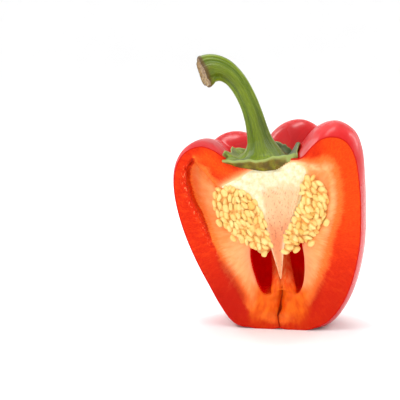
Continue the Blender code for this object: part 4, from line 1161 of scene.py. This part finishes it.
    def piece(name, lo, hi, close_low, close_high, grow_low=0.0, grow_high=0.0):
        ringset = P[lo:hi].copy()
        tuck = ringset[:3] if close_high else ringset[-3:]
        for j in range(3):
            hidden = (3 - j) if close_high else j + 1
            middle_j = tuck[j].mean(0)
            tuck[j] = middle_j + (tuck[j] - middle_j) * (1 - 0.02 * hidden)
        verts = ringset.reshape(-1, 3)
        faces = []
        k = np.arange(around)
        k2 = (k + 1) % around
        for i in range(hi - lo - 1):
            s, u = i * around, (i + 1) * around
            faces += np.stack([s + k, s + k2, u + k2, u + k], -1).tolist()
        caps = []
        if close_low:
            caps.append(ringset[0].mean(0))
            c = len(verts)
            faces += [[c, int(k2[j]), int(k[j])] for j in range(around)]
        if close_high:
            caps.append(ringset[-1].mean(0))
            c = len(verts) + len(caps) - 1
            s = (hi - lo - 1) * around
            faces += [[c, int(s + k[j]), int(s + k2[j])] for j in range(around)]
        verts = np.vstack([verts] + [np.array([c]) for c in caps]) if caps else verts
        obj = make(name, verts, faces)
        return obj, lo, hi, len(caps)

    def fill(obj, lo, hi, caps, field):
        v = field[lo:hi].reshape(-1)
        return np.concatenate([v, np.full(caps, v[-around:].mean() if caps else 0)]) if caps else v

    shape2 = P.shape[:2]
    A = np.broadcast_to(a, shape2)
    is_under = np.array([k == "under" for k in kinds])[:, None]
    is_rim = np.array([k == "rim" for k in kinds])[:, None]
    is_top = np.array([k == "top" for k in kinds])[:, None]
    is_stem = np.array([k == "stem" for k in kinds])[:, None]
    is_end = np.array([k == "end" for k in kinds])[:, None]
    val = np.array(values)[:, None]

    def bump(at, width):
        return np.exp(-((((A - at + 180) % 360 - 180) / width) ** 2))

    stem_t = np.where(is_stem, val, np.where(is_end, 1.0, 0.0))
    # The darker leaf at the back right; painted shade down one side of the stem, lower and higher up.
    dark_and_shade = np.clip(1.5 * bump(42, 52), 0, 1) * np.where(is_top & (val > 0.02) | is_rim | is_under, 1.0, 0.0)
    dark_and_shade = dark_and_shade + 0.55 * is_stem * bump(-40, 34) * ease((0.5 - stem_t) / 0.2) * ease((stem_t - 0.0) / 0.1)
    dark_and_shade = dark_and_shade + 0.35 * is_stem * bump(250, 25) * ease((stem_t - 0.55) / 0.2)
    # Painted shade in the grooves between the ridges.
    groove_shade = np.where(is_stem | is_top, ((1 - np.cos(STEM_RIDGES * np.radians(A) + 0.8 + 0.6 * stem_t)) / 2) ** 3, 0.0)
    olive = np.where(is_under, 0.9, 0.0) + 0 * A
    rimness = np.where(is_rim, 1.0, np.where(is_top, ease((val - 0.9) / 0.1), np.where(is_under, ease((val - 0.96) / 0.04), 0.0))) * 0.75 * (1 - 0.95 * bump(25, 40))
    # Painted shade under the calyx's rim at its left end.
    dark_and_shade = dark_and_shade + 0.6 * np.where(is_under | is_rim, 1.0, 0.0) * ease((-9.0 - P[..., 0]) / 4) * ease((-4 - P[..., 1]) / 3)
    brown = np.where(is_under, 0.75, 0.0) + 0.35 * is_top * ease((val - 0.55) / 0.4) * bump(200, 60) + 0.25 * is_stem * ease((stem_t - 0.9) / 0.08) + 0 * A
    cork = np.where(is_end, ease((0.95 - val) / 0.05), 0.0) + 0 * A
    ring = np.where(is_end, ease((val - 0.86) / 0.06), 0.0) + 0.8 * is_stem * ease((stem_t - 0.975) / 0.02) + 0.25 * np.where(is_end, ease((0.3 - val) / 0.1), 0) + 0 * A
    length = np.concatenate([[0], np.cumsum(np.linalg.norm(np.diff(P.mean(1), axis=0), axis=1))])
    radial = np.linalg.norm(P - P.mean(1)[:, None], axis=2)
    along_y = np.where(is_stem | is_end, 30 + length[:, None], 30 - radial + 0 * A)
    pieces = []
    for name, lo, hi, cl, ch in (("calyx_looks", 0, split + 3, True, False), ("stem_looks", split - 3, len(P), False, True)):
        obj, lo, hi, caps = piece(name, lo, hi, cl, ch)
        me = obj.data
        for key, field in (("dark_and_shade", dark_and_shade), ("groove_shade", groove_shade), ("olive", olive), ("edge", rimness), ("brown", brown), ("cork", cork), ("ring", ring)):
            attribute(me, key, np.clip(fill(obj, lo, hi, caps, np.broadcast_to(field, shape2)), 0, 1))
        u = fill(obj, lo, hi, caps, np.broadcast_to(np.cos(np.radians(A)) * 5 + 0 * A, shape2))
        v = fill(obj, lo, hi, caps, np.broadcast_to(along_y, shape2))
        w = fill(obj, lo, hi, caps, np.broadcast_to(np.sin(np.radians(A)) * 5 + 0 * A, shape2))
        attribute(me, "along", np.stack([u, v, w], 1))
        pieces.append(obj)
    calyx, stem = pieces
    calyx.data.materials.append(green_material("calyx_green", 0.4))
    stem.data.materials.append(green_material("stem_green", 0.32))
    return calyx, stem


# ---------------------------------------------------------------- the seeds
GRAIN = (1.92, 1.5, 1.02)


def grain_template(around=14, along=10):
    """A plump flat seed with a blunt tip, its length along x and its flat side facing z."""
    t = (np.arange(1, along) / along)[:, None]
    a = (np.arange(around) / around * 2 * pi)[None, :]
    T, A = np.broadcast_arrays(t, a)
    x = -np.cos(pi * T)
    rad = np.sin(pi * T) ** 0.7
    y = rad * np.cos(A)
    z = rad * np.sin(A)
    P = np.stack([x + 0 * A, y, z], -1).reshape(-1, 3)
    P = np.vstack([P, [[-1, 0, 0], [1, 0, 0]]])
    taper = 1 - 0.13 * ease((P[:, 0] + 0.1) / 1.1)
    P[:, 1] *= taper
    P[:, 2] *= taper * (1 - 0.10 * np.exp(-((P[:, 1] / 0.5) ** 2)))
    around_i = np.arange(around)
    nxt = (around_i + 1) % around
    faces = []
    for i in range(along - 2):
        s, u = i * around, (i + 1) * around
        faces += np.stack([s + around_i, s + nxt, u + nxt, u + around_i], -1).tolist()
    first, last = (along - 1) * around, (along - 1) * around + 1
    faces += [[first, int(nxt[j]), int(around_i[j])] for j in range(around)]
    s = (along - 2) * around
    faces += [[last, int(s + around_i[j]), int(s + nxt[j])] for j in range(around)]
    return P, faces


TEMPLATE = grain_template()


def grain(at, long_, flat, size, rng):
    P, faces = TEMPLATE
    long_ = long_ / np.linalg.norm(long_)
    flat = flat - long_ * np.dot(flat, long_)
    flat /= np.linalg.norm(flat)
    wide = np.cross(flat, long_)
    half = np.array(GRAIN) * size * rng.uniform(0.93, 1.07, 3)
    bend = rng.uniform(-0.12, 0.12)
    q = P * half
    q[:, 2] += bend * (P[:, 0] ** 2 - 0.4)
    q = q + 0.05 * np.sin(P[:, [1, 2, 0]] * 4 + rng.uniform(0, 6, 3))
    return at + np.outer(q[:, 0], long_) + np.outer(q[:, 1], wide) + np.outer(q[:, 2], flat)


def surface_points(shape, stop, rng, tries):
    """Random places on a bed's front, with their outward directions."""
    low = (1 - cos(pi * stop)) / 2
    t = np.arccos(1 - 2 * low * rng.uniform(0, 1, tries)) / pi
    angle = rng.uniform(0, 2 * pi, tries)
    e = 0.004
    p = shape(angle, t)
    du = shape(angle + e, t) - shape(angle - e, t)
    dt = shape(angle, np.minimum(t + e, 1)) - shape(angle, np.maximum(t - e, 0))
    out = np.cross(dt, du)
    out /= np.linalg.norm(out, axis=1)[:, None] + 1e-12
    heart = shape(np.array([0.0, 0.0]), np.array([0.0, 1.0])).mean(0)
    flip = np.sum(out * (p - heart), 1) < 0
    out[flip] *= -1
    out[t < 0.04] = (0, -1, 0)
    return p, out


def seed_cluster(name, bed, stop, lean_to, rng, limits, layers, spare):
    """Seeds packed by throwing them at the bed until no more fit, one layer over another."""
    verts, faces, tone, buried, tip = [], [], [], [], []
    total = 0
    P, F = TEMPLATE
    for layer, (lift, across, lengthways, tries, size) in enumerate(layers):
        p, out = surface_points(bed, stop, rng, tries)
        spot = p + out * (lift + rng.uniform(-0.25, 0.25, tries))[:, None]
        fit = limits(spot)
        for other in spare:
            fit &= np.linalg.norm(spot - other, axis=1) > 2.7
        p, out, spot = p[fit], out[fit], spot[fit]
        swirl = np.array([noise.noise((q[0] * 0.16 + 7 * layer, q[1] * 0.1, q[2] * 0.16 + 3.0)) for q in p])
        turn = np.radians(lean_to + 95 * swirl + rng.normal(0, 16, len(p)))
        want = np.stack([np.cos(turn), 0 * turn, np.sin(turn)], 1)
        lie = want - out * np.sum(out * want, 1)[:, None]
        size_of = np.linalg.norm(lie, axis=1)
        lie /= size_of[:, None] + 1e-9
        side = np.cross(out, lie)
        keep = np.zeros(0, int)
        for k in range(len(p)):
            if size_of[k] < 0.2:
                continue
            d = spot[k] - spot[keep]
            mine = (d @ lie[k] / lengthways) ** 2 + (d @ side[k] / across) ** 2
            theirs = (np.sum(d * lie[keep], 1) / lengthways) ** 2 + (np.sum(d * side[keep], 1) / across) ** 2
            if np.any((np.minimum(mine, theirs) < 1) & (np.sum(d * d, 1) < 12)):
                continue
            keep = np.append(keep, k)
        for k in keep:
            at, o, long_, across_ = spot[k], out[k], lie[k], side[k]
            # Most seeds are on edge; a few lie flat.
            tilt = rng.uniform(55, 88) if rng.uniform() < 0.88 else rng.uniform(8, 40)
            tilt = radians(tilt) * (1 if rng.uniform() < 0.5 else -1)
            flat = cos(tilt) * o + sin(tilt) * across_
            pitch = radians(rng.normal(0, 13))
            l3 = cos(pitch) * long_ + sin(pitch) * o
            if rng.uniform() < 0.5:
                l3 = -l3
            v = grain(at, l3, flat, size * rng.uniform(0.92, 1.06), rng)
            faces += [[i + total for i in f] for f in F]
            verts.append(v)
            total += len(v)
            tone.append(np.full(len(v), np.clip(0.5 + 0.3 * rng.normal() + 0.15 * layer, 0, 1)))
            # How deep each part of a seed lies in the cluster, for its painted shade.
            buried.append(np.clip(0.5 - ((v - at) @ o) / 1.3 - 0.1 * layer, 0, 1))
            tip.append(ease((P[:, 0] - 0.55) / 0.4))
    n_seeds = len(verts)
    bed_v, bed_f = ball_grid(bed, 90, 50)
    bed_v[:, 1] -= 0.45 * (bed_v[:, 1] < bed_v[:, 1].mean())
    bed_v = bed_v + 0.25 * lumps(bed_v, 1.6, 4.0)[:, None] * np.array([0.3, 1, 0.3])
    V = np.vstack(verts + [bed_v])
    faces += [[i + total for i in f] for f in bed_f]
    obj = make(name, V, faces)
    me = obj.data
    nb = len(bed_v)
    attribute(me, "tone", np.concatenate(tone + [np.zeros(nb)]))
    attribute(me, "buried", np.concatenate(buried + [np.ones(nb)]))
    attribute(me, "tip", np.concatenate(tip + [np.zeros(nb)]))
    me.materials.append(seed_material())
    me.materials.append(bed_material())
    kinds = np.zeros(len(me.polygons), np.int32)
    kinds[n_seeds * len(F) :] = 1
    me.polygons.foreach_set("material_index", kinds)
    me.update()
    print(name, n_seeds, "seeds")
    return obj


def seeds():
    made = {}
    spare = [np.array(at) for at, _ in LOOSE]
    core_line = rounded(CORE)
    for name, outline, middle, plane, front, back, count, stop, seed in BEDS:
        rng = np.random.default_rng(seed + 40)
        bed = lens(middle, outline, back * BED_SCALE, front * 0.72, 0.5, plane, 0.97 if "front" in name else BED_SCALE)
        edge = rounded(outline)

        def limits(at, edge=edge, forward="front" in name):
            x, z = at[:, 0], at[:, 2]
            fit = outside(edge, x, z) < -0.15
            if forward:
                fit &= (outside(core_line, x, z) > -0.25) | (at[:, 1] > CUT_Y + 2.5)
            return fit

        lean_to = 105 if "left" in name else 128
        layers = [(-0.3, 1.25, 2.45, 3600, 1.0), (0.7, 1.48, 2.75, 2600, 1.03)] if "front" in name else [(-0.1, 1.7, 2.9, 700, 1.0)]
        made[name] = seed_cluster("looks_" + name, bed, min(stop + 0.06, 1.0), lean_to, rng, limits, layers, spare if "front" in name else [])
    rng = np.random.default_rng(11)
    for k, (at, turn) in enumerate(LOOSE):
        a = radians(turn)
        long_ = np.array([cos(a), 0.05, sin(a)])
        flat = np.cross(long_, np.array([-sin(a) * 0.8, 0.6, cos(a) * 0.8]))
        v = grain(np.array(at), long_, flat, 1.0, rng)
        obj = make(f"looks_seed_{k + 1:02d}", v, [list(f) for f in TEMPLATE[1]])
        attribute(obj.data, "tone", np.full(len(v), 0.45 + 0.1 * (k % 3)))
        attribute(obj.data, "buried", np.zeros(len(v)))
        attribute(obj.data, "tip", ease((TEMPLATE[0][:, 0] - 0.55) / 0.4))
        obj.data.materials.append(seed_material())
        made[f"seed_{k + 1:02d}"] = obj
    return made


# ---------------------------------------------------------------- the studio
def area(name, at, to, size, power, colour=(1, 1, 1)):
    data = bpy.data.lights.new(name, "AREA")
    data.shape = "RECTANGLE"
    data.size, data.size_y = size
    data.energy = power
    data.color = colour
    obj = bpy.data.objects.new(name, data)
    obj.location = at
    obj.rotation_euler = (Vector(to) - Vector(at)).to_track_quat("-Z", "Y").to_euler()
    bpy.context.scene.collection.objects.link(obj)
    return obj


def studio():
    scene = bpy.context.scene
    scene.view_settings.view_transform = "Standard"
    me = bpy.data.meshes.new("floor")
    # A round white dish: flat under the part, and turned up all the way round.
    profile = [(0.0, 0.0), (0.3, 0.0), (1.2, 0.0), (2.2, 0.0)] + [(2.2 + 1.6 * sin(a), 1.6 - 1.6 * cos(a)) for a in np.linspace(0.1, pi / 2, 14)] + [(3.8, 4.5)]
    turns = 64
    points = [(0.0, 0.0, 0.0)] + [(r * cos(2 * pi * k / turns), r * sin(2 * pi * k / turns), z) for r, z in profile[1:] for k in range(turns)]
    sides = [(0, 1 + k, 1 + (k + 1) % turns) for k in range(turns)]
    for i in range(len(profile) - 2):
        sides += [(1 + i * turns + k, 1 + (i + 1) * turns + k, 1 + (i + 1) * turns + (k + 1) % turns, 1 + i * turns + (k + 1) % turns) for k in range(turns)]
    me.from_pydata(points, [], sides)
    me.shade_smooth()
    floor = bpy.data.objects.new("floor", me)
    scene.collection.objects.link(floor)
    m = Nodes("floor_white", Roughness=0.75)
    m.shader.inputs["Specular IOR Level"].default_value = 0.2
    grain = m.noise(m.scale(m.place(), (3, 3, 3)), 1.0, 2.0)
    m.to(Base_Color=m.mix(grain, (0.93, 0.93, 0.93, 1), (0.95, 0.95, 0.95, 1)))
    me.materials.append(m.material)
    world = bpy.data.worlds.new("white_room")
    world.use_nodes = True
    world.node_tree.nodes["Background"].inputs["Color"].default_value = (1, 1, 1, 1)
    world.node_tree.nodes["Background"].inputs["Strength"].default_value = 1.28
    scene.world = world
    area("front", (-0.18, -1.05, 0.34), (0, 0, 0.05), (0.2, 0.2), 0.5)
    area("key", (-0.62, -0.55, 0.7), (0, 0, 0.05), (0.2, 0.34), 1.9)
    area("fill", (0.85, -0.3, 0.45), (0, 0, 0.06), (0.14, 0.6), 0.8)
    area("rim_left", (-0.75, 0.65, 0.5), (0, 0, 0.06), (0.1, 0.6), 2.2)
    area("rim_right", (0.7, 0.75, 0.55), (0, 0, 0.06), (0.1, 0.6), 2.2)
    area("overhead", (-0.15, 0.35, 0.95), (0, 0, 0.06), (0.5, 0.26), 3.4)
    data = bpy.data.cameras.new("camera")
    camera = bpy.data.objects.new("camera", data)
    data.lens = 120.8
    data.sensor_width = 36
    data.clip_start, data.clip_end = 0.01, 30
    camera.location = to_m((61.945, -575.367, 137.861))
    forward = Vector((-0.159405, 0.976972, -0.141833))
    camera.rotation_euler = forward.to_track_quat("-Z", "Y").to_euler()
    scene.collection.objects.link(camera)
    scene.camera = camera


def show(obj, nodes):
    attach(obj, "root")
    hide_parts(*nodes)


def main():
    show(flesh_piece(), ["flesh"])
    show(core_piece(), ["placenta_core"])
    calyx, stem = green_parts()
    show(calyx, ["calyx"])
    show(stem, ["stem"])
    for name, obj in seeds().items():
        show(obj, [name])
    for obj in list(cutters.objects):
        bpy.data.objects.remove(obj, do_unlink=True)
    bpy.data.collections.remove(cutters)
    studio()


main()
